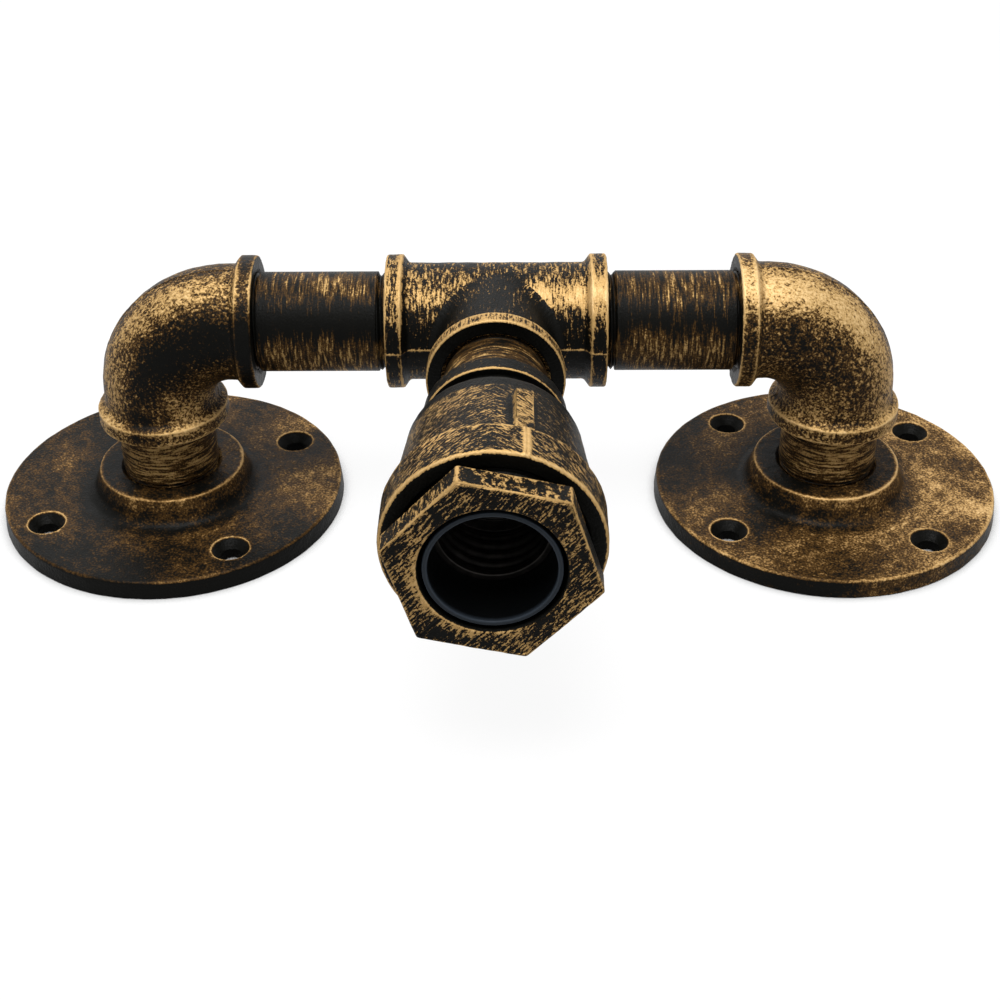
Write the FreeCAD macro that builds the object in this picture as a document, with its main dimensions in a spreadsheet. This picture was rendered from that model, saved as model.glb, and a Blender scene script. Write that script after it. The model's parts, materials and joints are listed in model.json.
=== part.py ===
"""Industrial pipe wall light: two floor flanges, two legs, a tee and a lampholder head.

Frame: millimetres. The mounting plane is z = 0 and +Z points out from the wall. The horizontal
pipes lie along X at the axis height, and the head points to -Y. The origin is on the mounting
plane, midway between the flanges.
"""
import FreeCAD, Part
import Sketcher
import math
import os

V = FreeCAD.Vector
OUT = "parts"

# Driving sizes in millimetres, degrees or counts: name, value, what it is.
SIZES = [
    ("pipe_od", 26.9, "outside diameter of every pipe nipple"),
    ("pipe_wall", 2.6, "wall of every pipe nipple"),
    ("thread_od", 26.4, "outside diameter over a nipple's threaded end"),
    ("thread_len", 12.0, "length of thread screwed into a fitting"),
    ("thread_spare", 1.0, "depth of a threaded socket past the end of its nipple"),
    ("thread_show", 0.8, "thread left bare at an elbow, a flange or the reducer"),
    ("tee_thread_show", 2.4, "thread left bare beside the tee"),
    ("thread_gap", 0.05, "running clearance on the radius of a thread"),
    ("waterway", 24.4, "bore of a fitting behind its threads"),
    ("cut_spare", 1.0, "how far a cut runs past the face that it opens"),
    ("entry_bevel", 1.0, "bevel at the mouth of a threaded socket"),
    ("axis_height", 57.5, "height of the horizontal pipes' axis over the mounting plane"),
    ("leg_spacing", 187.5, "distance between the two legs' axes"),
    ("body_od", 31.6, "elbow: outside diameter of its body"),
    ("band_od", 36.1, "outside diameter of a cast fitting's end band"),
    ("band_width", 4.4, "width of the flat of an end band"),
    ("band_slope", 1.6, "length of the slope from band to body"),
    ("band_round", 0.7, "rounding of a band's corners"),
    ("elbow_reach", 29.4, "elbow: centre to face"),
    ("elbow_bend", 21.0, "elbow: bend radius of its centre line"),
    ("tee_reach", 29.5, "tee: centre to the face of each run end"),
    ("branch_reach", 32.0, "tee: centre to the face of the branch"),
    ("branch_od", 31.0, "tee: outside diameter of the branch's body"),
    ("saddle_step", 0.3, "tee: how far the run's body stands proud of the branch's, all round"),
    ("saddle_round", 1.6, "tee: fillet where the branch leaves the body"),
    ("flange_od", 97.2, "flange: diameter at the mounting face"),
    ("flange_draft", 0.5, "flange: how far its rim leans in"),
    ("flange_thick", 5.2, "flange: thickness of its plate"),
    ("flange_edge", 0.9, "flange: rounding of the plate's upper edge"),
    ("hub_top", 12.2, "flange: height of its hub"),
    ("hub_od", 40.8, "flange: diameter of the hub's rim"),
    ("hub_foot", 45.6, "flange: diameter of the hub where it meets the plate"),
    ("hub_fillet", 3.0, "flange: fillet at the hub's foot"),
    ("hub_edge", 0.6, "flange: rounding of the hub's rim"),
    ("hub_thread", 10.0, "flange: length of the leg's thread inside the hub"),
    ("hole_circle", 77.2, "flange: diameter of the screw holes' circle"),
    ("hole_dia", 5.5, "flange: screw hole"),
    ("hole_sink", 10.6, "flange: countersink of a screw hole"),
    ("hole_count", 4, "flange: number of screw holes"),
    ("left_turn", 32.2, "flange: turn of the left flange's first hole, degrees"),
    ("right_turn", 39.8, "flange: turn of the right flange's first hole, degrees"),
    ("branch_gap", 17.5, "bare pipe between the branch's face and the reducer"),
    ("reducer_length", 53.2, "reducer: length over all"),
    ("small_band_width", 5.4, "reducer: width of the band at its small end"),
    ("neck_od", 31.0, "reducer: diameter of the neck behind the bell"),
    ("neck_length", 5.7, "reducer: length of the neck"),
    ("bell_od", 41.6, "reducer: diameter of the bell at its shoulder"),
    ("bell_flare", 3.2, "reducer: growth of the bell's radius towards the big band"),
    ("shoulder_round", 5.2, "reducer: rounding of the bell's shoulder"),
    ("shoulder_flat", 0.1, "reducer: least flat between the neck and the shoulder's rounding"),
    ("big_band_od", 51.9, "reducer: diameter of the band at its big end"),
    ("big_band_width", 11.2, "reducer: width of the big band's flat"),
    ("big_band_slope", 2.0, "reducer: slope from the bell to the big band"),
    ("seat_depth", 14.5, "reducer: small end to the seat inside"),
    ("reducer_bore", 23.0, "reducer: bore between small thread and seat"),
    ("cavity_dia", 35.0, "reducer: diameter of the hollow round the lampholder"),
    ("rib_width", 4.4, "reducer: width of a cast rib"),
    ("rib_height", 1.0, "reducer: height of a cast rib over the bell's shoulder"),
    ("rib_root", 0.5, "reducer: a rib's foot over the bush's bore, and how far it runs into the big band"),
    ("rib_start", 24.0, "reducer: small end to the start of a rib"),
    ("rib_count", 2, "reducer: number of ribs"),
    ("rib_turn", 17.0, "reducer: turn of the first rib from the top, degrees"),
    ("bush_thread_od", 41.9, "hex bush: outside diameter of its thread"),
    ("bush_thread_len", 14.7, "hex bush: length of thread inside the reducer"),
    ("bush_gap", 2.3, "hex bush: bare thread between reducer and hexagon"),
    ("hex_flats", 43.8, "hex bush: hexagon across flats"),
    ("hex_thick", 6.5, "hex bush: thickness of the hexagon"),
    ("hex_turn", -17.1, "hex bush: turn of a corner from the top, degrees"),
    ("hex_edge", 0.4, "hex bush: rounding of the hexagon's edges"),
    ("bush_bore", 33.0, "hex bush: bore round the lampholder"),
    ("bush_mouth", 0.7, "hex bush: rounding of the bore's mouth"),
    ("holder_od", 31.1, "lampholder: outside diameter"),
    ("holder_recess", 0.8, "lampholder: its front edge behind the hexagon's face"),
    ("holder_wall", 1.2, "lampholder: wall of skirt and cap"),
    ("skirt_length", 26.6, "lampholder: length of the skirt without its lap"),
    ("lip_round", 0.3, "lampholder: rounding of the skirt's front lip"),
    ("lap_length", 3.6, "lampholder: overlap of skirt and cap"),
    ("lap_gap", 0.05, "lampholder: clearance between fitted pieces, on the radius"),
    ("cap_floor", 5.0, "lampholder: thickness of the cap's floor"),
    ("wiring_room", 3.0, "lampholder: height of the wiring space behind the base"),
    ("ledge_width", 1.5, "lampholder: ledge in the cap that carries the base"),
    ("base_thick", 5.0, "lampholder: thickness of the contact base"),
    ("slot_depth", 2.0, "lampholder: depth of the base's slot for the tongue"),
    ("slot_spare", 1.5, "lampholder: length of the slot past the tongue's tip"),
    ("slot_width", 6.0, "lampholder: width of the base's slot"),
    ("shell_major", 26.5, "screw shell: inside diameter at the thread's crests"),
    ("shell_minor", 24.4, "screw shell: inside diameter at the thread's roots"),
    ("shell_pitch", 3.63, "screw shell: pitch of the thread"),
    ("shell_waves", 4, "screw shell: number of turns"),
    ("shell_sheet", 0.5, "screw shell: thickness of its sheet"),
    ("shell_lead", 1.4, "screw shell: plain length before and after the turns"),
    ("shell_foot", 19.0, "screw shell: inside diameter of its foot"),
    ("tube_od", 10.0, "fixing tube: outside diameter, M10x1"),
    ("tube_bore", 8.0, "fixing tube: bore"),
    ("tube_spare", 1.5, "fixing tube: length past the nut"),
    ("disc_thick", 1.5, "fixing disc: thickness"),
    ("washer_gap", 0.2, "fixing washer: clearance on its radius inside the tee's branch"),
    ("washer_thick", 1.5, "fixing washer: thickness"),
    ("nut_flats", 14.0, "fixing nut: across flats"),
    ("nut_thick", 4.0, "fixing nut: thickness"),
    ("grub_dia", 3.0, "grub screw: diameter"),
    ("grub_length", 6.0, "grub screw: length"),
    ("grub_key", 1.5, "grub screw: its hexagon socket across flats"),
    ("terminal_offset", 10.5, "terminal screws: distance from the head's axis"),
    ("terminal_dia", 2.4, "terminal screws: shank diameter"),
    ("terminal_head", 3.6, "terminal screws: head diameter"),
    ("terminal_head_thick", 1.0, "terminal screws: head thickness"),
    ("live_short", 0.8, "terminal screws: how far the live one ends behind the base's front"),
    ("terminal_slot", 0.6, "terminal screws: width of the driver slot"),
    ("tongue_width", 4.6, "centre contact: width"),
    ("tongue_sheet", 0.5, "centre contact: thickness"),
    ("tongue_rise", 2.6, "centre contact: height of its tip over the base"),
    ("tongue_tip", 2.2, "centre contact: length past the head's axis"),
    ("tongue_knee", 1.5, "centre contact: its highest point, from the head's axis"),
    ("tongue_drop", 0.6, "centre contact: how far its tip bends down again"),
    ("tongue_gap", 0.3, "centre contact: clearance of its root"),
    ("cable_od", 6.6, "cable: outside diameter"),
    ("cable_bend", 10.5, "cable: bend radius inside the tee"),
    ("cable_split", 14.0, "cable: where it is divided, from the tee's centre"),
    ("cable_gap", 0.3, "cable: gap between its two lengths, across the turning joint"),
    ("cable_entry", 1.0, "cable: its end over the mounting plane"),
    ("cable_strip", 0.5, "cable: its sheath's end behind the cap's floor"),
    ("core_od", 1.9, "core: outside diameter"),
    ("core_bend", 1.5, "core: bend radius"),
    ("core_offset", 1.2, "core: distance from the cable's axis"),
]

doc = FreeCAD.newDocument("pipe_wall_light")
sheet = doc.addObject("Spreadsheet::Sheet", "Sizes")
for row, (alias, value, note) in enumerate(SIZES, start=1):
    sheet.set(f"A{row}", note)
    sheet.set(f"B{row}", str(value))
    sheet.setAlias(f"B{row}", alias)
doc.recompute()


class Size:
    """A size that carries its value and the expression on the sheet that gives it."""

    def __init__(self, value, text):
        self.value = value
        self.text = text

    def __add__(self, other):
        other = as_size(other)
        return Size(self.value + other.value, f"({self.text} + {other.text})")

    def __sub__(self, other):
        other = as_size(other)
        return Size(self.value - other.value, f"({self.text} - {other.text})")

    def __mul__(self, other):
        other = as_size(other)
        return Size(self.value * other.value, f"({self.text} * {other.text})")

    def __truediv__(self, other):
        other = as_size(other)
        return Size(self.value / other.value, f"({self.text} / {other.text})")

    def __rsub__(self, other):
        return as_size(other) - self

    def __neg__(self):
        return Size(-self.value, f"(0 - {self.text})")

    def at_most(self, other):
        """The smaller of two sizes, such as a rounding and the wall that it is cut in."""
        return Size(min(self.value, other.value), f"min({self.text}; {other.text})")

    __radd__ = __add__
    __rmul__ = __mul__


def as_size(number):
    """A plain number as a Size; a Size stays as it is."""
    if isinstance(number, Size):
        return number
    return Size(float(number), repr(float(number)))


def cell(alias):
    """One driving size from the sheet."""
    return Size(float(sheet.get(alias)), f"Sizes.{alias}")


D = {alias: cell(alias) for alias, _, _ in SIZES}

# Radii and places that several pieces share.
pipe_r = D["pipe_od"] / 2
pipe_bore_r = pipe_r - D["pipe_wall"]
thread_r = D["thread_od"] / 2
socket_r = thread_r + D["thread_gap"]
socket_depth = D["thread_len"] + D["thread_spare"]
waterway_r = D["waterway"] / 2
body_r = D["body_od"] / 2
band_r = D["band_od"] / 2
leg_x = D["leg_spacing"] / 2

# Distances along the head, from the horizontal pipes' axis.
reducer_rear = D["branch_reach"] + D["branch_gap"]
reducer_front = reducer_rear + D["reducer_length"]
seat = reducer_rear + D["seat_depth"]
bell_start = reducer_rear + D["small_band_width"] + D["neck_length"]
hex_back = reducer_front + D["bush_gap"]
hex_front = hex_back + D["hex_thick"]
holder_front = hex_front - D["holder_recess"]
skirt_rear = holder_front - D["skirt_length"]
cap_rear = seat + D["disc_thick"]
cap_floor = cap_rear + D["cap_floor"]
base_rear = cap_floor + D["wiring_room"]
base_front = base_rear + D["base_thick"]
nipple_inner = D["branch_reach"] - D["thread_len"]
washer_rear = nipple_inner - D["washer_thick"]
nut_rear = washer_rear - D["nut_thick"]
tube_rear = nut_rear - D["tube_spare"]

holder_r = D["holder_od"] / 2
holder_bore_r = holder_r - D["holder_wall"]
tube_r = D["tube_od"] / 2
cable_r = D["cable_od"] / 2

PARTS = []


# ---------------------------------------------------------------- drawing helpers
def bind(thing, prop, size):
    """Sets a property and ties it to the sheet."""
    size = as_size(size)
    if "." not in prop:
        whole = isinstance(getattr(thing, prop), int)
        setattr(thing, prop, int(size.value) if whole else size.value)
    thing.setExpression(prop, size.text)


def put(thing, label, place, turn):
    """Names a sub-part, turns it and sets it in its place."""
    thing.Label = label
    thing.Placement = FreeCAD.Placement(V(0, 0, 0), turn)
    for letter, size in zip("xyz", place):
        bind(thing, f"Placement.Base.{letter}", size)
    PARTS.append(thing)
    return thing


def plane_of(body, role):
    """One of a body's own origin planes or axes."""
    return next(item for item in body.Origin.OriginFeatures if item.Role == role)


def new_sketch(body, name, role="XZ_Plane", offset=None):
    """An empty sketch on a body's origin plane, raised by an offset."""
    sketch = body.newObject("Sketcher::SketchObject", name)
    sketch.AttachmentSupport = [(plane_of(body, role), "")]
    sketch.MapMode = "FlatFace"
    if offset is not None:
        sketch.setExpression("AttachmentOffset.Base.z", as_size(offset).text)
    return sketch


def hold(sketch, kind, axis, edge, end, size):
    """Holds one end of an edge at a distance from the sketch's origin, across or up."""
    size = as_size(size)
    if size.text == "0.0":
        sketch.addConstraint(Sketcher.Constraint("PointOnObject", edge, end, axis))
        return
    if size.value < 0:
        size = -size
        index = sketch.addConstraint(Sketcher.Constraint(kind, edge, end, -1, 1, size.value))
    else:
        index = sketch.addConstraint(Sketcher.Constraint(kind, -1, 1, edge, end, size.value))
    name = f"{kind[-1].lower()}{edge}_{end}"
    sketch.renameConstraint(index, name)
    sketch.setExpression(f"Constraints.{name}", size.text)


def pin_down(sketch, edge, end, across, up):
    """Holds one end of an edge at both its distances from the sketch's origin."""
    hold(sketch, "DistanceX", -2, edge, end, across)
    hold(sketch, "DistanceY", -1, edge, end, up)


def outline(sketch, points):
    """A closed outline through points (across, up). A third number makes the edge that follows an
    arc over an upright chord, and says how far across its centre lies."""
    flat = [V(as_size(p[0]).value, as_size(p[1]).value, 0) for p in points]
    count = len(points)
    first_end = []
    for i, point in enumerate(points):
        start, end = flat[i], flat[(i + 1) % count]
        if len(point) == 2:
            sketch.addGeometry(Part.LineSegment(start, end), False)
            first_end.append(1)
            continue
        centre = V(as_size(point[2]).value, (start.y + end.y) / 2, 0)
        spokes = start - centre, end - centre
        onward = spokes[0].cross(spokes[1]).z > 0
        first_end.append(1 if onward else 2)
        first, last = spokes if onward else reversed(spokes)
        begin = math.atan2(first.y, first.x)
        finish = math.atan2(last.y, last.x)
        finish += 2 * math.pi if finish < begin else 0
        whole = Part.Circle(centre, V(0, 0, 1), first.Length)
        sketch.addGeometry(Part.ArcOfCircle(whole, begin, finish), False)
    for i in range(count):
        after = (i + 1) % count
        sketch.addConstraint(
            Sketcher.Constraint("Coincident", i, 3 - first_end[i], after, first_end[after])
        )
    for i, point in enumerate(points):
        pin_down(sketch, i, first_end[i], point[0], point[1])
        if len(point) == 3:
            hold(sketch, "DistanceX", -2, i, 3, point[2])
    return sketch


def circle(sketch, across, up, radius):
    """A circle held by its centre and radius."""
    index = sketch.GeometryCount
    centre = V(as_size(across).value, as_size(up).value, 0)
    sketch.addGeometry(Part.Circle(centre, V(0, 0, 1), as_size(radius).value), False)
    pin_down(sketch, index, 3, across, up)
    held = sketch.addConstraint(Sketcher.Constraint("Radius", index, as_size(radius).value))
    sketch.renameConstraint(held, f"radius{index}")
    sketch.setExpression(f"Constraints.radius{index}", as_size(radius).text)
    return sketch


def hexagon(sketch, across_flats):
    """A regular hexagon about the sketch's origin, a corner on its upright axis."""
    corner = across_flats / math.sqrt(3)
    half = corner / 2
    flat = across_flats / 2
    points = [(0, corner), (-flat, half), (-flat, -half), (0, -corner), (flat, -half), (flat, half)]
    return outline(sketch, points)


def feature(body, kind, name, sketch, **settings):
    """A PartDesign feature on a sketch; a Size among the settings is tied to the sheet."""
    made = body.newObject(f"PartDesign::{kind}", name)
    made.Profile = sketch
    for prop, value in settings.items():
        if isinstance(value, Size):
            bind(made, prop, value)
        else:
            setattr(made, prop, value)
    sketch.Visibility = False
    doc.recompute()
    return made


def turned(body, name, points, axis="V_Axis", kind="Revolution", angle=360.0):
    """Turns an outline about one axis of its sketch, to add it or, as a groove, to take it away."""
    sketch = outline(new_sketch(body, f"{name}_sketch"), points)
    return feature(body, kind, name, sketch, ReferenceAxis=(sketch, [axis]), Angle=angle)


def rounded(body, name, edges, radius, kind="Fillet"):
    """Rounds the edges of the body's last feature that a test picks."""
    base = body.Tip
    names = [f"Edge{i}" for i, edge in enumerate(base.Shape.Edges, start=1) if edges(edge)]
    if not names:
        raise RuntimeError(f"{body.Name} {name}: no edge found")
    made = body.newObject(f"PartDesign::{kind}", name)
    made.Base = (base, names)
    bind(made, "Radius" if kind == "Fillet" else "Size", radius)
    doc.recompute()
    return made


def ring(radius, height=None, axis="z"):
    """A test for full circles of one radius about an axis, at one height along it."""
    want = as_size(radius).value
    level = None if height is None else as_size(height).value

    def matches(edge):
        if edge.Degenerated or not isinstance(edge.Curve, Part.Circle):
            return False
        if abs(edge.Curve.Radius - want) > 1e-3:
            return False
        if abs(abs(getattr(edge.Curve.Axis, axis)) - 1) > 1e-6:
            return False
        return level is None or abs(getattr(edge.Curve.Center, axis) - level) < 1e-3

    return matches


def curved(edge):
    """A test for edges that are neither circles nor straight, such as where two tubes cross."""
    return not edge.Degenerated and not isinstance(edge.Curve, (Part.Circle, Part.Line))


def straight(edge):
    """A test for straight edges."""
    return not edge.Degenerated and isinstance(edge.Curve, Part.Line)


def any_of(*tests):
    """A test that passes where one of several does."""
    return lambda edge: any(test(edge) for test in tests)


def new_body(name):
    """An empty PartDesign body."""
    return doc.addObject("PartDesign::Body", name)


UPRIGHT = FreeCAD.Rotation()
OUT_OF_HEAD = FreeCAD.Rotation(V(1, 0, 0), 90)
AXIS_PLACE = (0, 0, D["axis_height"])


def in_head(thing, label, turn=0.0):
    """Places a piece of the head: its own z axis runs out along the head, its y axis up."""
    return put(thing, label, AXIS_PLACE, OUT_OF_HEAD * FreeCAD.Rotation(V(0, 0, 1), turn))


# ---------------------------------------------------------------- fittings
def end_points(face, start, body_radius):
    """Half section of a banded end: from the axis at start out to the face."""
    band_back = face - D["band_width"]
    return [
        (0, start),
        (body_radius, start),
        (body_radius, band_back - D["band_slope"]),
        (band_r, band_back),
        (band_r, face),
        (0, face),
    ]


def socket_points(face, depth, radius):
    """Half section of a threaded socket with a bevelled mouth."""
    bevel = D["entry_bevel"]
    return [
        (0, face - depth),
        (radius, face - depth),
        (radius, face - bevel),
        (radius + bevel, face),
        (0, face),
    ]


def swapped(points):
    """The same outline laid along the other axis of its sketch."""
    return [(up, across) for across, up in points]


def lowered(points):
    """The same outline turned over, to run down instead of up."""
    return [(across, -up if isinstance(up, Size) else -float(up)) for across, up in points]


def make_elbow(name, label, side):
    """A 90 degree elbow. In its own frame the corner is the origin, one end runs along +X and
    the other along -Z."""
    body = new_body(name)
    bend, reach = D["elbow_bend"], D["elbow_reach"]
    for kind, radius in (("Revolution", body_r), ("Groove", waterway_r)):
        # A quarter of a ring: the circle at the lower end swings about a line through the bend's centre.
        sketch = new_sketch(body, f"bend_{kind}_sketch", "XY_Plane", -bend)
        circle(sketch, 0, 0, radius)
        low, high = V(bend.value, -1, 0), V(bend.value, 1, 0)
        line = sketch.addGeometry(Part.LineSegment(low, high), True)
        pin_down(sketch, line, 1, bend, -1)
        sketch.addConstraint(Sketcher.Constraint("Vertical", line))
        sketch.addConstraint(Sketcher.Constraint("Distance", line, 2))
        feature(body, kind, f"bend_{kind}", sketch, ReferenceAxis=(sketch, ["Axis0"]), Angle=90.0)
        if kind == "Revolution":
            turned(body, "end_across", swapped(end_points(reach, bend, body_r)), "H_Axis")
            turned(body, "end_down", lowered(end_points(reach, bend, body_r)))
    socket = socket_points(reach, socket_depth, socket_r)
    turned(body, "socket_across", swapped(socket), "H_Axis", "Groove")
    turned(body, "socket_down", lowered(socket), "V_Axis", "Groove")
    band_back = reach - D["band_width"]
    corners = any_of(
        ring(band_r, reach, "x"), ring(band_r, band_back, "x"),
        ring(band_r, -reach), ring(band_r, -band_back),
    )
    rounded(body, "band_corners", corners, D["band_round"])
    turn = UPRIGHT if side < 0 else FreeCAD.Rotation(V(0, 0, 1), 180)
    return put(body, label, (side * leg_x, 0, D["axis_height"]), turn)


def make_tee():
    """The tee: its run lies along X, and its branch runs out along the head's axis."""
    body = new_body("Tee")
    reach, branch = D["tee_reach"], D["branch_reach"]
    branch_r = D["branch_od"] / 2
    half = end_points(reach, 0, branch_r + D["saddle_step"])[2:]
    run = list(reversed(lowered(half))) + half
    turned(body, "run", swapped(run), "H_Axis")
    turned(body, "branch", end_points(branch, 0, branch_r))
    rounded(body, "saddle", curved, D["saddle_round"])
    turned(body, "run_bore", swapped([(0, -reach), (waterway_r, -reach), (waterway_r, reach), (0, reach)]),
           "H_Axis", "Groove")
    turned(body, "branch_bore", [(0, 0), (waterway_r, 0), (waterway_r, branch), (0, branch)], kind="Groove")
    for side, points in (("right", socket_points(reach, socket_depth, socket_r)),
                         ("left", lowered(socket_points(reach, socket_depth, socket_r)))):
        turned(body, f"socket_{side}", swapped(points), "H_Axis", "Groove")
    turned(body, "socket_branch", socket_points(branch, socket_depth, socket_r), kind="Groove")
    backs = [reach - D["band_width"], branch - D["band_width"]]
    corners = any_of(
        ring(band_r, reach, "x"), ring(band_r, -reach, "x"), ring(band_r, backs[0], "x"),
        ring(band_r, -backs[0], "x"), ring(band_r, branch), ring(band_r, backs[1]),
    )
    rounded(body, "band_corners", corners, D["band_round"])
    return in_head(body, "tee")


def make_flange(name, label, side, turn):
    """A cast floor flange: plate, threaded hub and countersunk screw holes."""
    body = new_body(name)
    plate_r, top, hub = D["flange_od"] / 2, D["flange_thick"], D["hub_top"]
    rim_r = plate_r - D["flange_draft"]
    bevel = D["entry_bevel"]
    turned(body, "casting", [
        (socket_r, 0),
        (plate_r, 0),
        (rim_r, top),
        (D["hub_foot"] / 2, top),
        (D["hub_od"] / 2, hub),
        (socket_r + bevel, hub),
        (socket_r, hub - bevel),
    ])
    rounded(body, "hub_foot", ring(D["hub_foot"] / 2, top), D["hub_fillet"])
    rounded(body, "hub_rim", ring(D["hub_od"] / 2, hub), D["hub_edge"])
    rounded(body, "plate_edge", ring(rim_r, top), D["flange_edge"])
    hole_r, sink_r = D["hole_dia"] / 2, D["hole_sink"] / 2
    # The screw hole is turned about its own axis, which stands on the hole circle.
    sketch = new_sketch(body, "hole_sketch")
    out, spare = D["hole_circle"] / 2, D["cut_spare"]
    outline(sketch, [
        (out, -spare),
        (out + hole_r, -spare),
        (out + hole_r, top - (sink_r - hole_r)),
        (out + sink_r, top),
        (out + sink_r, top + spare),
        (out, top + spare),
    ])
    centre = sketch.addGeometry(Part.LineSegment(V(out.value, -1, 0), V(out.value, 0, 0)), True)
    pin_down(sketch, centre, 1, out, -1)
    sketch.addConstraint(Sketcher.Constraint("Vertical", centre))
    sketch.addConstraint(Sketcher.Constraint("Distance", centre, 1))
    hole = feature(body, "Groove", "hole", sketch, ReferenceAxis=(sketch, ["Axis0"]), Angle=360.0)
    pattern = body.newObject("PartDesign::PolarPattern", "holes")
    pattern.Originals = [hole]
    pattern.Axis = (plane_of(body, "Z_Axis"), [""])
    pattern.Angle = 360.0
    bind(pattern, "Occurrences", D["hole_count"])
    body.Tip = pattern
    doc.recompute()
    return put(body, label, (side * leg_x, 0, 0), FreeCAD.Rotation(V(0, 0, 1), turn.value))


def make_nipple(name, label, length, bare_low, bare_high, low_thread, place, turn):
    """A pipe nipple along its own z axis, its threaded ends a little thinner than the pipe."""
    body = new_body(name)
    low, high = low_thread + bare_low, length - D["thread_len"] - bare_high
    turned(body, "pipe", [
        (pipe_bore_r, 0),
        (thread_r, 0),
        (thread_r, low),
        (pipe_r, low),
        (pipe_r, high),
        (thread_r, high),
        (thread_r, length),
        (pipe_bore_r, length),
    ])
    return put(body, label, place, turn)


def make_reducer():
    """The bell-shaped reducing socket, with its seat for the fixing disc and two cast ribs."""
    body = new_body("Reducer")
    neck_r, bell_r, big_r = D["neck_od"] / 2, D["bell_od"] / 2, D["big_band_od"] / 2
    front_r = bell_r + D["bell_flare"]
    band_back = reducer_front - D["big_band_width"]
    small_front = reducer_rear + D["small_band_width"]
    bush_r = D["bush_thread_od"] / 2 + D["thread_gap"]
    bush_end = reducer_front - D["bush_thread_len"] - D["thread_spare"]
    cavity_r, bore_r = D["cavity_dia"] / 2, D["reducer_bore"] / 2
    bevel = D["entry_bevel"]
    turned(body, "bell", [
        (socket_r + bevel, reducer_rear),
        (band_r, reducer_rear),
        (band_r, small_front),
        (neck_r, small_front),
        (neck_r, bell_start),
        (bell_r, bell_start),
        (front_r, band_back - D["big_band_slope"]),
        (big_r, band_back),
        (big_r, reducer_front),
        (bush_r + bevel, reducer_front),
        (bush_r, reducer_front - bevel),
        (bush_r, bush_end),
        (cavity_r, bush_end),
        (cavity_r, seat),
        (bore_r, seat),
        (bore_r, reducer_rear + socket_depth),
        (socket_r, reducer_rear + socket_depth),
        (socket_r, reducer_rear + bevel),
    ])
    shoulder = D["shoulder_round"].at_most(bell_r - neck_r - D["shoulder_flat"])
    rounded(body, "shoulder", ring(bell_r, bell_start), shoulder)
    corners = any_of(
        ring(band_r, reducer_rear), ring(band_r, small_front),
        ring(big_r, band_back), ring(big_r, reducer_front),
    )
    rounded(body, "band_corners", corners, D["band_round"])
    sketch = new_sketch(body, "rib_sketch", "XY_Plane", reducer_rear + D["rib_start"])
    half, low, high = D["rib_width"] / 2, bush_r + D["rib_root"], front_r + D["rib_height"]
    outline(sketch, [(half, low), (half, high), (-half, high), (-half, low)])
    length = band_back - reducer_rear - D["rib_start"] + D["rib_root"]
    rib = feature(body, "Pad", "rib", sketch, Length=length)
    pattern = body.newObject("PartDesign::PolarPattern", "ribs")
    pattern.Originals = [rib]
    pattern.Axis = (plane_of(body, "Z_Axis"), [""])
    pattern.Angle = 360.0
    bind(pattern, "Occurrences", D["rib_count"])
    body.Tip = pattern
    doc.recompute()
    return in_head(body, "reducer", -D["rib_turn"].value)


def make_hex_bush():
    """The hexagon bush: a threaded neck inside the reducer and a bore round the lampholder."""
    body = new_body("HexBush")
    sketch = hexagon(new_sketch(body, "hexagon_sketch", "XY_Plane", hex_back), D["hex_flats"])
    feature(body, "Pad", "hexagon", sketch, Length=D["hex_thick"])
    rounded(body, "hex_edges", straight, D["hex_edge"])
    neck_r, neck_end = D["bush_thread_od"] / 2, reducer_front - D["bush_thread_len"]
    neck_root = hex_back + D["hex_thick"] / 2
    turned(body, "neck", [(0, neck_end), (neck_r, neck_end), (neck_r, neck_root), (0, neck_root)])
    bore_r = D["bush_bore"] / 2
    bore = [(0, neck_end), (bore_r, neck_end), (bore_r, hex_front), (0, hex_front)]
    turned(body, "bore", bore, kind="Groove")
    rounded(body, "mouth", ring(bore_r, hex_front), D["bush_mouth"])
    return in_head(body, "hex_bush", -D["hex_turn"].value)


# ---------------------------------------------------------------- lampholder
def make_skirt():
    """The front tube of the lampholder; its rear end laps over the cap."""
    body = new_body("HolderSkirt")
    lap_r = holder_r - D["holder_wall"] / 2
    turned(body, "skirt", [
        (lap_r, skirt_rear - D["lap_length"]),
        (holder_r, skirt_rear - D["lap_length"]),
        (holder_r, holder_front),
        (holder_bore_r, holder_front),
        (holder_bore_r, skirt_rear),
        (lap_r, skirt_rear),
    ])
    corners = any_of(ring(holder_r, holder_front), ring(holder_bore_r, holder_front))
    rounded(body, "lip", corners, D["lip_round"])
    return in_head(body, "holder_skirt")


def make_cap():
    """The rear half of the lampholder: a thick floor threaded for the fixing tube, and a ledge
    that carries the contact base."""
    body = new_body("HolderCap")
    lap_r = holder_r - D["holder_wall"] / 2 - D["lap_gap"]
    bore_r = tube_r + D["thread_gap"]
    ledge_r = holder_bore_r - D["ledge_width"]
    lap_start = skirt_rear - D["lap_length"]
    turned(body, "cap", [
        (bore_r, cap_rear),
        (holder_r, cap_rear),
        (holder_r, lap_start),
        (lap_r, lap_start),
        (lap_r, skirt_rear),
        (holder_bore_r, skirt_rear),
        (holder_bore_r, base_rear),
        (ledge_r, base_rear),
        (ledge_r, cap_floor),
        (bore_r, cap_floor),
    ])
    # The grub screw's hole runs in from the side, halfway up the floor.
    middle = (cap_rear + cap_floor) / 2
    sketch = circle(new_sketch(body, "grub_hole_sketch"), 0, middle, D["grub_dia"] / 2 + D["thread_gap"])
    feature(body, "Pocket", "grub_hole", sketch, Length=holder_r + D["cut_spare"], Reversed=True)
    return in_head(body, "holder_cap")


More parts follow.
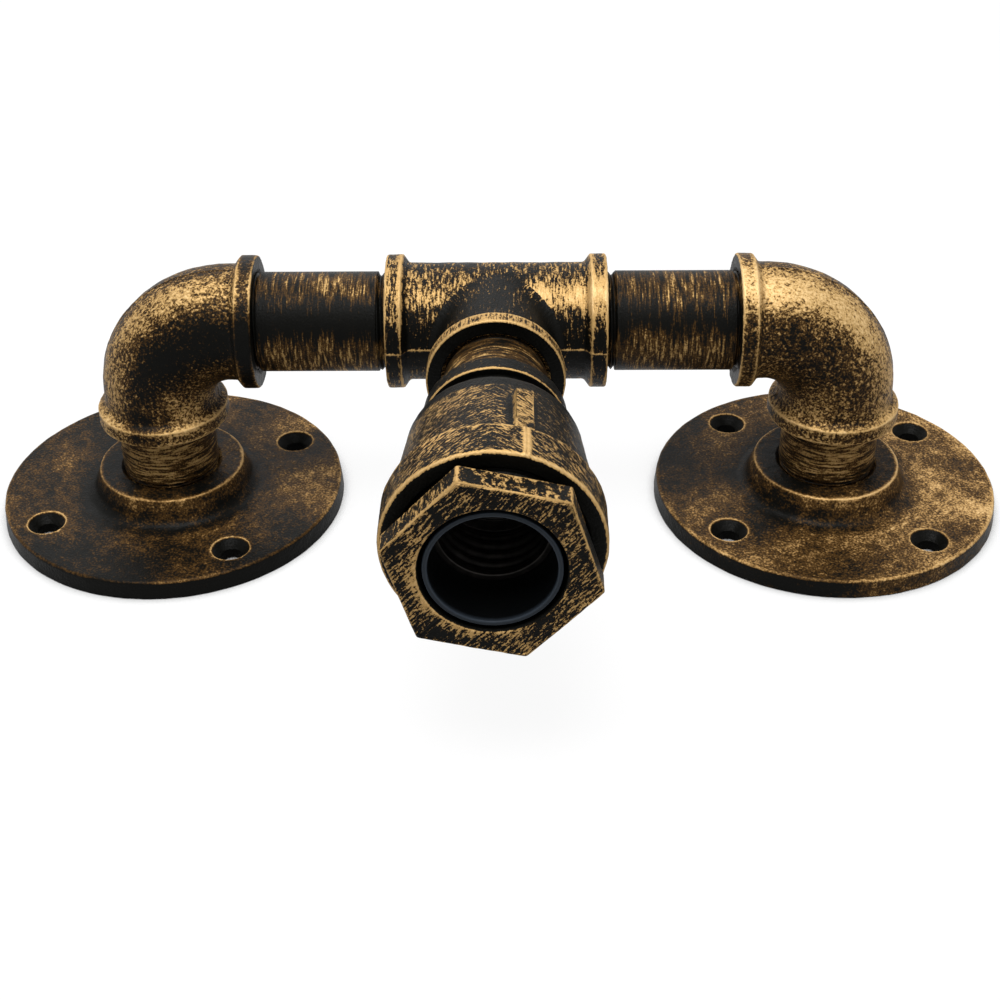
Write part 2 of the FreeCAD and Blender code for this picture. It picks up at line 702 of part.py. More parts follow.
def make_base():
    """The insulating base: a disc with a slot for the tongue and holes for the terminal screws."""
    body = new_body("ContactBase")
    base_r = holder_bore_r - D["lap_gap"]
    turned(body, "disc", [(0, base_rear), (base_r, base_rear), (base_r, base_front), (0, base_front)])
    half, inner, outer = D["slot_width"] / 2, -D["tongue_tip"] - D["slot_spare"], D["terminal_offset"]
    slot = new_sketch(body, "slot_sketch", "XY_Plane", base_front)
    outline(slot, [(inner, -half), (outer, -half), (outer, half), (inner, half)])
    feature(body, "Pocket", "slot", slot, Length=D["slot_depth"])
    holes = new_sketch(body, "terminal_hole_sketch", "XY_Plane", base_front)
    radius = D["terminal_dia"] / 2 + D["lap_gap"]
    circle(holes, D["terminal_offset"], 0, radius)
    circle(holes, -D["terminal_offset"], 0, radius)
    feature(body, "Pocket", "terminal_holes", holes, Length=D["base_thick"])
    return in_head(body, "contact_base")


def make_shell():
    """The screw shell: thin sheet rolled into round turns, a foot on the base and a flared lip."""
    body = new_body("ScrewShell")
    sheet_t, pitch = D["shell_sheet"], D["shell_pitch"]
    major, minor = D["shell_major"] / 2, D["shell_minor"] / 2
    mean, height = (major + minor) / 2, (major - minor) / 2
    half_turn = pitch / 2
    arc = (half_turn * half_turn) / (8 * height) + height / 2
    back = arc - height
    first = base_front + D["shell_lead"]
    steps = int(D["shell_waves"].value) * 2
    front = first + steps * half_turn + D["shell_lead"]
    lip_r = holder_bore_r - D["lap_gap"]
    foot_r = D["shell_foot"] / 2
    # Half turns alternate: an even one bulges out, so its arc's centre lies back towards the axis.
    shift = [(-back if i % 2 == 0 else back) for i in range(steps)]
    inside = [(mean, first + i * half_turn, mean + shift[i]) for i in range(steps)]
    rim = mean + sheet_t
    outside = [(rim, first + (i + 1) * half_turn, rim + shift[i]) for i in reversed(range(steps))]
    turned(body, "shell", [
        (foot_r, base_front),
        (foot_r, base_front + sheet_t),
        (mean, base_front + sheet_t),
        *inside,
        (mean, first + steps * half_turn),
        (mean, front),
        (lip_r, front),
        (lip_r, front - sheet_t),
        (mean + sheet_t, front - sheet_t),
        *outside,
        (mean + sheet_t, first),
        (mean + sheet_t, base_front),
    ])
    return in_head(body, "screw_shell")


def make_tongue():
    """The centre contact: a sprung strip from its root by the terminal screw to the head's axis."""
    body = new_body("CentreContact")
    root_x = D["terminal_offset"] - D["terminal_dia"] / 2 - D["tongue_gap"]
    root_z = base_front - D["slot_depth"] + D["tongue_gap"]
    thick = D["tongue_sheet"]
    top = base_front + D["tongue_rise"]
    tip = -D["tongue_tip"]
    sketch = new_sketch(body, "strip_sketch")
    outline(sketch, [
        (root_x, root_z),
        (root_x, root_z + thick),
        (D["tongue_knee"], top),
        (tip, top - D["tongue_drop"]),
        (tip, top - D["tongue_drop"] - thick),
        (D["tongue_knee"], top - thick),
    ])
    feature(body, "Pad", "strip", sketch, Length=D["tongue_width"], Midplane=True)
    return in_head(body, "centre_contact")


# ---------------------------------------------------------------- fixings
def make_ring_piece(name, label, inner, outer, low, high):
    """A plain ring or tube about the head's axis."""
    body = new_body(name)
    turned(body, "ring", [(inner, low), (outer, low), (outer, high), (inner, high)])
    return in_head(body, label)


def make_nut():
    """The hexagon nut on the fixing tube's inner end."""
    body = new_body("FixingNut")
    sketch = hexagon(new_sketch(body, "hexagon_sketch", "XY_Plane", nut_rear), D["nut_flats"])
    feature(body, "Pad", "hexagon", sketch, Length=D["nut_thick"])
    bore_r = tube_r + D["thread_gap"]
    bore = [(0, nut_rear), (bore_r, nut_rear), (bore_r, washer_rear), (0, washer_rear)]
    turned(body, "bore", bore, kind="Groove")
    return in_head(body, "fixing_nut")


def make_grub_screw():
    """The socket grub screw that locks the cap on the fixing tube."""
    body = new_body("GrubScrew")
    middle = (cap_rear + cap_floor) / 2
    start = tube_r
    end = start + D["grub_length"]
    screw = new_sketch(body, "screw_sketch", "XZ_Plane", start)
    circle(screw, 0, middle, D["grub_dia"] / 2)
    feature(body, "Pad", "screw", screw, Length=D["grub_length"])
    key = new_sketch(body, "key_sketch", "XZ_Plane", end)
    corner, half, flat = D["grub_key"] / math.sqrt(3), D["grub_key"] / math.sqrt(12), D["grub_key"] / 2
    outline(key, [
        (0, middle + corner), (-flat, middle + half), (-flat, middle - half),
        (0, middle - corner), (flat, middle - half), (flat, middle + half),
    ])
    feature(body, "Pocket", "key", key, Length=D["grub_key"])
    return in_head(body, "grub_screw")


def cylinder(name, radius, height, place):
    """A Part cylinder along z, tied to the sheet."""
    made = doc.addObject("Part::Cylinder", name)
    bind(made, "Radius", radius)
    bind(made, "Height", height)
    for letter, size in zip("xyz", place):
        bind(made, f"Placement.Base.{letter}", size)
    return made


def make_terminal_screws():
    """The two slotted terminal screws, heads in the wiring space."""
    screws = []
    lengths = {"Live": D["base_thick"] - D["live_short"], "Neutral": D["base_thick"]}
    for name, side in (("Live", 1), ("Neutral", -1)):
        x = side * D["terminal_offset"]
        head_low = base_rear - D["terminal_head_thick"]
        head = cylinder(f"{name}Head", D["terminal_head"] / 2, D["terminal_head_thick"], (x, 0, head_low))
        shank = cylinder(f"{name}Shank", D["terminal_dia"] / 2, lengths[name], (x, 0, base_rear))
        whole = doc.addObject("Part::Fuse", f"{name}Blank")
        whole.Base, whole.Tool = head, shank
        slot = doc.addObject("Part::Box", f"{name}Slot")
        width, length = D["terminal_slot"], D["terminal_head"] + D["cut_spare"]
        bind(slot, "Length", width)
        bind(slot, "Width", length)
        bind(slot, "Height", D["terminal_head_thick"] / 2)
        for letter, size in zip("xyz", (x - width / 2, -length / 2, head_low)):
            bind(slot, f"Placement.Base.{letter}", size)
        screw = doc.addObject("Part::Cut", f"{name}Screw")
        screw.Base, screw.Tool = whole, slot
        screws.append(screw)
    pair = doc.addObject("Part::Compound", "TerminalScrews")
    pair.Links = screws
    doc.recompute()
    return in_head(pair, "terminal_screws")


# ---------------------------------------------------------------- wiring
def tube_along(points, bends, radius):
    """A round tube along straight runs joined by tangent arcs, one bend radius a corner."""
    edges = []
    here = points[0]
    for corner, after, bend in zip(points[1:-1], points[2:], bends):
        before = (corner - here).normalize()
        onward = (after - corner).normalize()
        turn = before.getAngle(onward)
        cut = bend * math.tan(turn / 2)
        start, end = corner - before * cut, corner + onward * cut
        centre = start + (onward - before * before.dot(onward)).normalize() * bend
        middle = centre + (corner - centre).normalize() * bend
        edges += [Part.LineSegment(here, start).toShape(), Part.Arc(start, middle, end).toShape()]
        here = end
    edges.append(Part.LineSegment(here, points[-1]).toShape())
    path = Part.Wire(edges)
    section = Part.Wire(Part.Circle(points[0], points[1] - points[0], radius).toShape())
    solid = path.makePipeShell([section], True, False)
    off = solid.Volume / (math.pi * radius ** 2 * path.Length) - 1
    print(f"tube: length {path.Length:.1f}, radius {radius}, volume off by {off:+.5f}")
    return solid


def wire_piece(name, label, points, bends, radius):
    """A length of wiring, set as a shape in the row's own frame."""
    thing = doc.addObject("Part::Feature", name)
    thing.Shape = tube_along([V(*[as_size(c).value for c in p]) for p in points],
                             [as_size(b).value for b in bends], as_size(radius).value)
    return thing


def make_wiring():
    """The cable, in one length up the left leg and one in the head, and its two cores."""
    axis = D["axis_height"]
    split = D["cable_split"]
    supply = wire_piece("SupplyCable", "supply_cable", [
        (-leg_x, 0, D["cable_entry"]),
        (-leg_x, 0, axis),
        (-(split + D["cable_gap"]), 0, axis),
    ], [D["elbow_bend"]], cable_r)
    supply.Label = "supply_cable"
    PARTS.append(supply)
    cable_end = cap_floor - D["cable_strip"]
    head = wire_piece("HeadCable", "head_cable", [
        (-split, 0, 0),
        (0, 0, 0),
        (0, 0, cable_end),
    ], [D["cable_bend"]], cable_r)
    in_head(head, "head_cable")
    reach = D["terminal_offset"] - D["terminal_head"] / 2 - D["lap_gap"]
    level = (cap_floor + base_rear) / 2
    for name, label, side in (("LiveCore", "live_core", 1), ("NeutralCore", "neutral_core", -1)):
        start = side * D["core_offset"]
        core = wire_piece(name, label, [
            (start, 0, cable_end),
            (start, 0, level),
            (side * reach, 0, level),
        ], [D["core_bend"]], D["core_od"] / 2)
        in_head(core, label)


# ---------------------------------------------------------------- the assembly
make_flange("LeftFlange", "left_flange", -1, D["left_turn"])
make_flange("RightFlange", "right_flange", 1, D["right_turn"])
leg_low = D["hub_top"] - D["hub_thread"]
leg_length = D["axis_height"] - D["elbow_reach"] + D["thread_len"] - leg_low
for side, word in ((-1, "left"), (1, "right")):
    title = word.capitalize()
    make_nipple(f"{title}LegNipple", f"{word}_leg_nipple", leg_length, D["thread_show"], D["thread_show"],
                D["hub_thread"], (side * leg_x, 0, leg_low), UPRIGHT)
    make_elbow(f"{title}Elbow", f"{word}_elbow", side)
    pipe_start = leg_x - D["elbow_reach"] + D["thread_len"]
    pipe_length = pipe_start - D["tee_reach"] + D["thread_len"]
    toward_tee = FreeCAD.Rotation(V(0, 1, 0), -90 * side)
    make_nipple(f"{title}Pipe", f"{word}_pipe", pipe_length, D["thread_show"], D["tee_thread_show"],
                D["thread_len"], (side * pipe_start, 0, D["axis_height"]), toward_tee)

make_tee()
branch_length = D["branch_gap"] + 2 * D["thread_len"]
make_nipple("BranchNipple", "branch_nipple", branch_length, D["thread_show"], D["thread_show"],
            D["thread_len"], (0, -nipple_inner, D["axis_height"]), OUT_OF_HEAD)
make_reducer()
make_hex_bush()
make_skirt()
make_cap()
make_base()
make_shell()
make_tongue()
make_terminal_screws()
make_grub_screw()
make_ring_piece("FixingTube", "fixing_tube", D["tube_bore"] / 2, tube_r, tube_rear, cap_floor)
make_ring_piece("FixingDisc", "fixing_disc", tube_r + D["thread_gap"], D["cavity_dia"] / 2 - D["lap_gap"],
                seat, cap_rear)
make_ring_piece("FixingWasher", "fixing_washer", tube_r + D["thread_gap"], waterway_r - D["washer_gap"],
                washer_rear, nipple_inner)
make_nut()
make_wiring()

doc.recompute()
for thing in doc.Objects:
    if "Invalid" in thing.State or "Error" in thing.State:
        raise RuntimeError(f"{thing.Name} ({thing.Label}) failed: {thing.State}")
for part in PARTS:
    if part.Shape.isNull() or not part.Shape.isValid() or not part.Shape.Solids:
        raise RuntimeError(f"{part.Label}: no valid solid")

os.makedirs(OUT, exist_ok=True)
for part in PARTS:
    part.Shape.exportStep(os.path.join(OUT, f"{part.Label}.step"))
    box = part.Shape.BoundBox
    print(f"{part.Label:18s} solids {len(part.Shape.Solids)}  volume {part.Shape.Volume:10.1f}"
          f"  x {box.XMin:7.1f} {box.XMax:7.1f}"
          f"  y {box.YMin:7.1f} {box.YMax:7.1f}  z {box.ZMin:6.1f} {box.ZMax:6.1f}")
print(f"{len(PARTS)} nodes")
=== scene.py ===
# %% [markdown]
# # A pipe wall light, dressed for the camera
# The lamp is made of threaded pipe fittings: two floor flanges, two legs, two elbows, a tee and a head.
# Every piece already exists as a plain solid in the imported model. This lesson makes the surfaces that
# show: castings with soft edges, pipes with real threads, and black paint brushed with bronze.

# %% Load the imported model
import json
import math

import bmesh
import bpy
import numpy as np
from mathutils import Matrix, Vector
from numpy.linalg import norm

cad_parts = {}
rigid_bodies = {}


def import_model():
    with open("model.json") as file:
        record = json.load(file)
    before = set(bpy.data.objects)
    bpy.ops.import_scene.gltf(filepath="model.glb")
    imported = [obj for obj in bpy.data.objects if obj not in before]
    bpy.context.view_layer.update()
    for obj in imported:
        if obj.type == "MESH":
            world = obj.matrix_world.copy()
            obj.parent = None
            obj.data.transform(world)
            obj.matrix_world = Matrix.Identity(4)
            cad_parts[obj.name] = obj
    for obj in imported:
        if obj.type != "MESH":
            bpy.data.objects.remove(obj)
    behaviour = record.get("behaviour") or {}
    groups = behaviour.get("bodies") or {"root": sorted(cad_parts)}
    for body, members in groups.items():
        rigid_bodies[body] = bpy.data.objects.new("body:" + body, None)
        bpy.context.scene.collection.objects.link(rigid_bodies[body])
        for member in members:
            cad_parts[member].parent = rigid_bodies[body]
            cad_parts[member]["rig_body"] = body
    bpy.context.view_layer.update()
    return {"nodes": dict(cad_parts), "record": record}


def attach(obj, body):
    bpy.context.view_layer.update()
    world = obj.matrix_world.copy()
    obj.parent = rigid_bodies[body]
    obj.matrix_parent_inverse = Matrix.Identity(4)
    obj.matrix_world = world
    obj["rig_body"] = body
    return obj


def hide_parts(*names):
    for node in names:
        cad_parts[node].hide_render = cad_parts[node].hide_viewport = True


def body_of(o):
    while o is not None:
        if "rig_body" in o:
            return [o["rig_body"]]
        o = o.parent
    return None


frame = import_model()
MM = 0.001

# %% [markdown]
# ## The sizes
# A surface can only sit right if it uses the sizes that the solids have. They are written here once, in
# millimetres, so that each function below reads like a drawing.

# %% Sizes in millimetres
AXIS_HEIGHT = 57.5
LEG_X = 93.75
PIPE_R, PIPE_BORE_R, THREAD_R, SOCKET_R, WATERWAY_R = 13.45, 10.85, 13.2, 13.25, 12.2
THREAD_LENGTH, THREAD_PITCH, THREAD_DEPTH = 12.0, 1.814, 0.95
BODY_R, BAND_R, BAND_WIDTH, BAND_SLOPE, BAND_ROUND = 15.8, 18.05, 4.4, 1.6, 0.7
ELBOW_REACH, ELBOW_BEND = 29.4, 21.0
TEE_REACH, BRANCH_REACH, BRANCH_R, SADDLE = 29.5, 32.0, 15.5, 3.2
SOCKET_DEPTH, BEVEL = 13.0, 1.0
REDUCER_REAR, REDUCER_FRONT = 49.5, 102.7
HEX_BACK, HEX_FRONT = 105.0, 111.5
HOLDER_R, HOLDER_BORE_R, HOLDER_FRONT, SKIRT_REAR = 15.55, 14.35, 110.7, 80.5
HEX_TURN, RIB_TURN = 17.1, -17.0
FLANGE_TURNS = {"left": 32.2, "right": 39.8}
SIDES = ((-1, "left"), (1, "right"))
TOUCH = 0.05

X, Y, Z = np.eye(3)
CORNER = np.array([0.0, 0.0, AXIS_HEIGHT])
print("flanges apart:", 2 * LEG_X, "mm; pipes' axis above the wall:", AXIS_HEIGHT, "mm")

# %% [markdown]
# ## Fading
# Wear, dirt and paint all fade with a distance or an angle. A few small functions say so in one word.

# %% Small functions of distance and angle
def near(value, middle, span):
    """1 at the middle and less away from it: exp(-(distance / span) squared)."""
    return np.exp(-((value - middle) / span) ** 2)


def ramp(value, start, end):
    """0 at the start, 1 at the end, straight between, and level beyond both."""
    return np.clip((value - start) / (end - start), 0, 1)


def wrapped(angle):
    """An angle in radians, brought between minus pi and pi."""
    return (angle + np.pi) % (2 * np.pi) - np.pi


def facing(theta, middle, span):
    """How near an angle in radians is to a middle one in degrees, fading over a span in degrees."""
    return near((np.degrees(theta) - middle + 180) % 360 - 180, 0, span)


def spots(theta, *rows):
    """How much bronze a piece gets round it: the sum of weight times facing(theta, middle, span),
    over rows of (weight, middle, span). The rows hold where the brush hit or missed, and on some pieces
    painted highlight and painted shade."""
    return sum(weight * facing(theta, middle, span) for weight, middle, span in rows)


# %% [markdown]
# ## Profiles
# Most fittings are turned or swept shapes: a profile of distances along the axis and radii, carried
# round. Sharp corners look fake, because every casting has a radius, so the profile helper turns each
# corner with an arc and adds points beside it that keep the flat faces flat. It also says how near each
# point is to a worn edge, which the paint uses later.

# %% Profile helper
ARC_POINTS = 6
WEAR_WIDTH = 0.55
GUARD = 0.12


def profile(rows, closed=True):
    """A profile through corners (along, radius, rounding, wear, step), in millimetres.

    Each corner is replaced by an arc whose tangent length is rounding times the tangent of half the
    turn. Between arcs, points lie a step apart. Wear falls off as exp(-(distance / width) squared)
    along the profile. Returns along, radius and wear as arrays."""
    rows = np.array(rows, float)
    corner, rounding, wear, step = rows[:, :2], rows[:, 2], rows[:, 3], rows[:, 4]
    into = corner - np.roll(corner, 1, 0)
    onward = np.roll(corner, -1, 0) - corner
    if not closed:
        into[0], onward[-1] = onward[0], into[-1]
    into /= norm(into, axis=1)[:, None]
    onward /= norm(onward, axis=1)[:, None]
    turn = np.arctan2(into[:, 0] * onward[:, 1] - into[:, 1] * onward[:, 0], (into * onward).sum(1))
    tangent = rounding * np.tan(np.abs(turn) / 2)
    start = corner - into * tangent[:, None]
    inward = np.stack([-into[:, 1], into[:, 0]], 1) * np.sign(turn)[:, None]
    centre = start + inward * rounding[:, None]
    swing = turn[:, None] * np.linspace(0, 1, ARC_POINTS)
    spoke = (start - centre)[:, None, :]
    arc = centre[:, None, :] + np.stack([
        spoke[..., 0] * np.cos(swing) - spoke[..., 1] * np.sin(swing),
        spoke[..., 0] * np.sin(swing) + spoke[..., 1] * np.cos(swing)], 2)
    points, middles, length = [], [], 0.0
    last = None
    count = len(rows)
    for i in range(count):
        here = arc[i] if tangent[i] > 0 else corner[i:i + 1]
        if last is not None:
            length += norm(here[0] - last)
        middles.append(length + norm(here[-1] - here[0]) / 2)
        length += norm(np.diff(here, axis=0), axis=1).sum()
        points.append(here)
        last = here[-1]
        if i == count - 1 and not closed:
            break
        following = (i + 1) % count
        after = arc[following][0] if tangent[following] > 0 else corner[following]
        gap = norm(after - last)
        if gap > 3 * GUARD:
            share = np.linspace(GUARD / gap, 1 - GUARD / gap, max(2, int(gap / step[i]) + 1))
            points.append(last + (after - last) * share[:, None])
    line = np.concatenate(points)
    travelled = np.concatenate([[0], np.cumsum(norm(np.diff(line, axis=0), axis=1))])
    away = np.abs(travelled[:, None] - np.array(middles)[None, :])
    if closed:
        away = np.minimum(away, travelled[-1] - away)
    worn = (np.array(wear) * near(away, 0, WEAR_WIDTH)).max(1)
    following = np.roll(line, -1, 0)
    doubled_area = (line[:, 0] * following[:, 1] - line[:, 1] * following[:, 0]).sum()
    if closed and doubled_area > 0:
        line, worn = line[::-1], worn[::-1]
    return line[:, 0], line[:, 1], worn


# %% [markdown]
# ## Paths
# A turned piece is a profile carried round a straight axis. An elbow is the same thing on a path with a
# quarter turn in it. A path therefore gives, for each distance, a centre and the two directions across.

# %% Paths
QUARTER_TURN = math.pi / 2
ELBOW_LEAD = ELBOW_REACH - ELBOW_BEND
ELBOW_LENGTH = 2 * ELBOW_LEAD + ELBOW_BEND * QUARTER_TURN


def straight(origin, along, across):
    """A straight path: centre = origin + distance times along. Across stays the same."""
    def path(s):
        ones = np.ones_like(s)[:, None]
        return origin + s[:, None] * along, ones * across, ones * np.cross(along, across)
    return path


def elbow_path(corner, side):
    """In from the tee side, a quarter turn of one bend radius, then down: the centre runs straight,
    then on an arc about a point one radius inside the corner, then straight again."""
    inner = np.array([-side * ELBOW_BEND, 0, -ELBOW_BEND])

    def path(s):
        angle = np.clip((s - ELBOW_LEAD) / ELBOW_BEND, 0, QUARTER_TURN)
        out = side * np.sin(angle)[:, None] * X + np.cos(angle)[:, None] * Z
        before = np.clip(ELBOW_LEAD - s, 0, None)[:, None] * (-side * X)
        after = np.clip(s - ELBOW_LEAD - ELBOW_BEND * QUARTER_TURN, 0, None)[:, None] * -Z
        centre = corner + inner + ELBOW_BEND * out + before + after
        return centre, out, np.ones_like(s)[:, None] * (-side * Y)
    return path


def angles(count, crowded=(), spread=4.0, extra=12):
    """Even angles round a circle, with extra ones crowded within a spread (degrees) of given angles."""
    even = np.arange(count) * 2 * np.pi / count
    more = [np.radians(c + np.linspace(-spread, spread, extra)) for c in crowded]
    return np.unique(np.round(np.concatenate([even, *more]) % (2 * np.pi), 6))


# %% [markdown]
# ## Making the mesh
# Blender takes whole arrays with foreach_set, which is quick. The mesh also gets three attributes: edge,
# how worn it is; tone, how much bronze the brush left there, with painted highlight and painted shade
# added on some pieces; and brush, the place of each point as if the piece were straightened, so that
# strokes can run round it or along it.

# %% Mesh helpers
MERGE_DISTANCE = 1e-6
LUMP_WAVES = 28
# The sand's marks: the size of the lumps in millimetres, and their share of the skin's depth.
LUMP_LAYERS = ((5.0, 0.6), (2.0, 0.4))
THREAD_STEEPNESS, THREAD_FLAT = 1.3, 0.1


def grid_faces(rows, columns, closed_rows=True):
    """Quads between neighbours of a grid. Its columns close up, and its rows do too if asked."""
    i = np.arange(rows if closed_rows else rows - 1)[:, None]
    j = np.arange(columns)[None, :]
    row, next_row = i * columns, (i + 1) % rows * columns
    beside = (j + 1) % columns
    quads = np.broadcast_arrays(row + j, row + beside, next_row + beside, next_row + j)
    return np.stack(quads, -1).reshape(-1, 4)


def lumps(points, seed, size):
    """Soft random hills between 0 and 1: the mean of many sine waves whose directions are random and
    whose lengths lie around one size."""
    random = np.random.default_rng(seed)
    waves = random.normal(size=(LUMP_WAVES, 3))
    lengths = size * random.uniform(0.6, 1.8, LUMP_WAVES)
    waves *= (2 * np.pi / lengths / norm(waves, axis=1))[:, None]
    phases = random.uniform(0, 6.28, LUMP_WAVES)
    total = np.sin(points @ waves.T + phases).sum(1) / math.sqrt(LUMP_WAVES / 2)
    return 0.5 + 0.5 * np.tanh(total)


def sink_skin(mesh, skin, seed):
    """Sinks each point along its normal by skin millimetres times lumps, as a sand casting does."""
    co = np.empty(len(mesh.vertices) * 3, np.float32)
    normal = np.empty_like(co)
    mesh.vertices.foreach_get("co", co)
    mesh.vertex_normals.foreach_get("vector", normal)
    co, normal = co.reshape(-1, 3), normal.reshape(-1, 3)
    depth = sum(share * lumps(co / MM, seed + i, size) for i, (size, share) in enumerate(LUMP_LAYERS))
    mesh.vertices.foreach_set("co", (co - normal * (skin * MM * depth)[:, None]).ravel())


def piece(name, patches, node, material, skin=0.0, seed=1):
    """A mesh from patches (points, faces, edge, tone, brush), merged where they meet, with a cast skin
    if one is given."""
    count = 0
    points, faces, edge, tone, brush = [], [], [], [], []
    for p, f, e, t, b in patches:
        points.append(p.reshape(-1, 3))
        faces.append(f + count)
        edge.append(np.broadcast_to(e, p.shape[:-1]).ravel())
        tone.append(np.broadcast_to(t, p.shape[:-1]).ravel())
        brush.append(b.reshape(-1, 3))
        count += points[-1].shape[0]
    points, faces = np.concatenate(points) * MM, np.concatenate(faces)
    mesh = bpy.data.meshes.new(name)
    mesh.vertices.add(len(points))
    mesh.vertices.foreach_set("co", points.astype(np.float32).ravel())
    mesh.loops.add(faces.size)
    mesh.loops.foreach_set("vertex_index", faces.astype(np.int32).ravel())
    mesh.polygons.add(len(faces))
    mesh.polygons.foreach_set("loop_start", np.arange(0, faces.size, 4, dtype=np.int32))
    mesh.update(calc_edges=True)
    for title, values in (("edge", edge), ("tone", tone)):
        mesh.attributes.new(title, "FLOAT", "POINT").data.foreach_set(
            "value", np.concatenate(values).astype(np.float32))
    mesh.attributes.new("brush", "FLOAT_VECTOR", "POINT").data.foreach_set(
        "vector", (np.concatenate(brush) * MM).astype(np.float32).ravel())
    work = bmesh.new()
    work.from_mesh(mesh)
    bmesh.ops.remove_doubles(work, verts=work.verts, dist=MERGE_DISTANCE)
    loose = sum(1 for e in work.edges if not e.is_manifold)
    work.to_mesh(mesh)
    work.free()
    if skin:
        sink_skin(mesh, skin, seed)
    mesh.polygons.foreach_set("use_smooth", np.ones(len(mesh.polygons), bool))
    mesh.update()
    made = bpy.data.objects.new(name, mesh)
    bpy.context.scene.collection.objects.link(made)
    made.data.materials.append(material)
    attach(made, body_of(frame["nodes"][node])[0])
    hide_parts(node)
    print(f"{name:20s} {len(mesh.polygons):6d} faces, open edges {loose}")
    return made


def carried(shape, path, theta, radius=None, tone=0.0):
    """A closed profile carried along a path: point = centre(s) + r (cos t across + sin t aside). The
    radius may change with the angle too. The brush coordinates are (s, r cos t, r sin t)."""
    s, r, edge = shape
    r = np.broadcast_to(r[:, None], (len(s), len(theta))) if radius is None else radius
    centre, across, aside = path(s)
    c, d = np.cos(theta), np.sin(theta)
    points = centre[:, None] + r[..., None] * (
        c[None, :, None] * across[:, None] + d[None, :, None] * aside[:, None])
    brush = np.stack([np.broadcast_to(s[:, None], r.shape), r * c, r * d], -1)
    edge = edge if edge.ndim == 2 else edge[:, None]
    return points, grid_faces(len(s), len(theta)), edge, tone, brush


def thread(s, theta, radius, pitch, depth):
    """A screw thread: the radius drops by depth times a triangle wave of s / pitch minus the turn, made
    a little steeper and clipped, so that crests and roots are flat."""
    phase = (s[:, None] / pitch - theta[None, :] / (2 * np.pi)) % 1.0
    wave = np.clip(np.abs(2 * phase - 1) * THREAD_STEEPNESS - THREAD_FLAT, 0, 1)
    return radius - depth * wave


# %% [markdown]
# ## Paint as arithmetic
# A material is a small sum: how much bronze is here, how rough, how high. Written as Python expressions
# it stays readable, so one class wraps a socket and turns each operator into a Math node.

# %% Shader helper
class Value:
    """A number that a node tree works out at each point, with the usual operators."""

    def __init__(self, paint, socket):
        self.paint = paint
        self.socket = socket

    def maths(self, kind, a, b):
        return self.paint.node("ShaderNodeMath", {"operation": kind}, {0: a, 1: b}, "Value")

    def __add__(self, other):
        return self.maths("ADD", self, other)

    def __sub__(self, other):
        return self.maths("SUBTRACT", self, other)

    def __rsub__(self, other):
        return self.maths("SUBTRACT", other, self)

    def __mul__(self, other):
        return self.maths("MULTIPLY", self, other)

    __radd__ = __add__
    __rmul__ = __mul__

    def at_most(self, other):
        return self.maths("MINIMUM", self, other)

    def step(self, low, high):
        """0 below low, 1 above high, smooth between."""
        return self.paint.node("ShaderNodeMapRange", {"interpolation_type": "SMOOTHSTEP"},
                               {"Value": self, "From Min": low, "From Max": high}, "Result")


class Paint:
    """A node tree under construction: that of a new material or of the world."""

    def __init__(self, owner):
        owner.use_nodes = True
        self.owner = owner
        self.tree = owner.node_tree
        self.shader = self.tree.nodes.get("Principled BSDF")

    def feed(self, socket, value):
        if isinstance(value, Value):
            self.tree.links.new(value.socket, socket)
        else:
            socket.default_value = value

    def node(self, kind, settings, inputs, out=0):
        """Any node: its settings are made first, then the values or links of its sockets."""
        made = self.tree.nodes.new(kind)
        for name, value in settings.items():
            setattr(made, name, value)
        for name, value in inputs.items():
            self.feed(made.inputs[name], value)
        return Value(self, made.outputs[out])

    def attribute(self, name, out="Fac"):
        return self.node("ShaderNodeAttribute", {"attribute_name": name}, {}, out)

    def place(self):
        return self.node("ShaderNodeTexCoord", {}, {}, "Object")

    def stretched(self, vector, by):
        return self.node("ShaderNodeVectorMath", {"operation": "MULTIPLY"}, {0: vector, 1: by})

    def noise(self, vector, scale, detail=3.0, roughness=0.5, distortion=0.0):
        return self.node("ShaderNodeTexNoise", {}, {
            "Vector": vector, "Scale": scale, "Detail": detail, "Roughness": roughness,
            "Distortion": distortion})

    def mix(self, share, first, second):
        """One colour turning into another."""
        made = self.tree.nodes.new("ShaderNodeMix")
        made.data_type = "RGBA"
        self.feed(made.inputs["Factor"], share)
        self.feed(made.inputs[6], first)
        self.feed(made.inputs[7], second)
        return Value(self, made.outputs[2])

    def bump(self, height, distance, strength=1.0):
        return self.node("ShaderNodeBump", {}, {
            "Height": height, "Distance": distance, "Strength": strength})

    def finish(self, **inputs):
        """Feeds the shader's sockets, named in small letters, and gives the material back."""
        for name, value in inputs.items():
            title = name.replace("_", " ").title().replace("Ior", "IOR")
            self.feed(self.shader.inputs[title], value)
        return self.owner


def new_paint(name):
    return Paint(bpy.data.materials.new(name))


def colour(red, green, blue):
    """A colour as seen on a screen, 0 to 255, turned into the light values that a shader takes."""
    seen = np.array([red, green, blue]) / 255
    light = np.where(seen < 0.04045, seen / 12.92, ((seen + 0.055) / 1.055) ** 2.4)
    return (*light.tolist(), 1.0)


# %% [markdown]
# ## Bronze brushed over black
# The castings are sprayed black. A nearly dry brush with antique bronze then catches what stands up:
# edges most, then lumps, and it leaves streaks where it ran. So the bronze mask is a sum of slow patches,
# streaks and fine specks, helped by the edge attribute, and cut off sharply, because dry paint has
# ragged borders. Round pieces are brushed as they turn, so their streaks run round them.

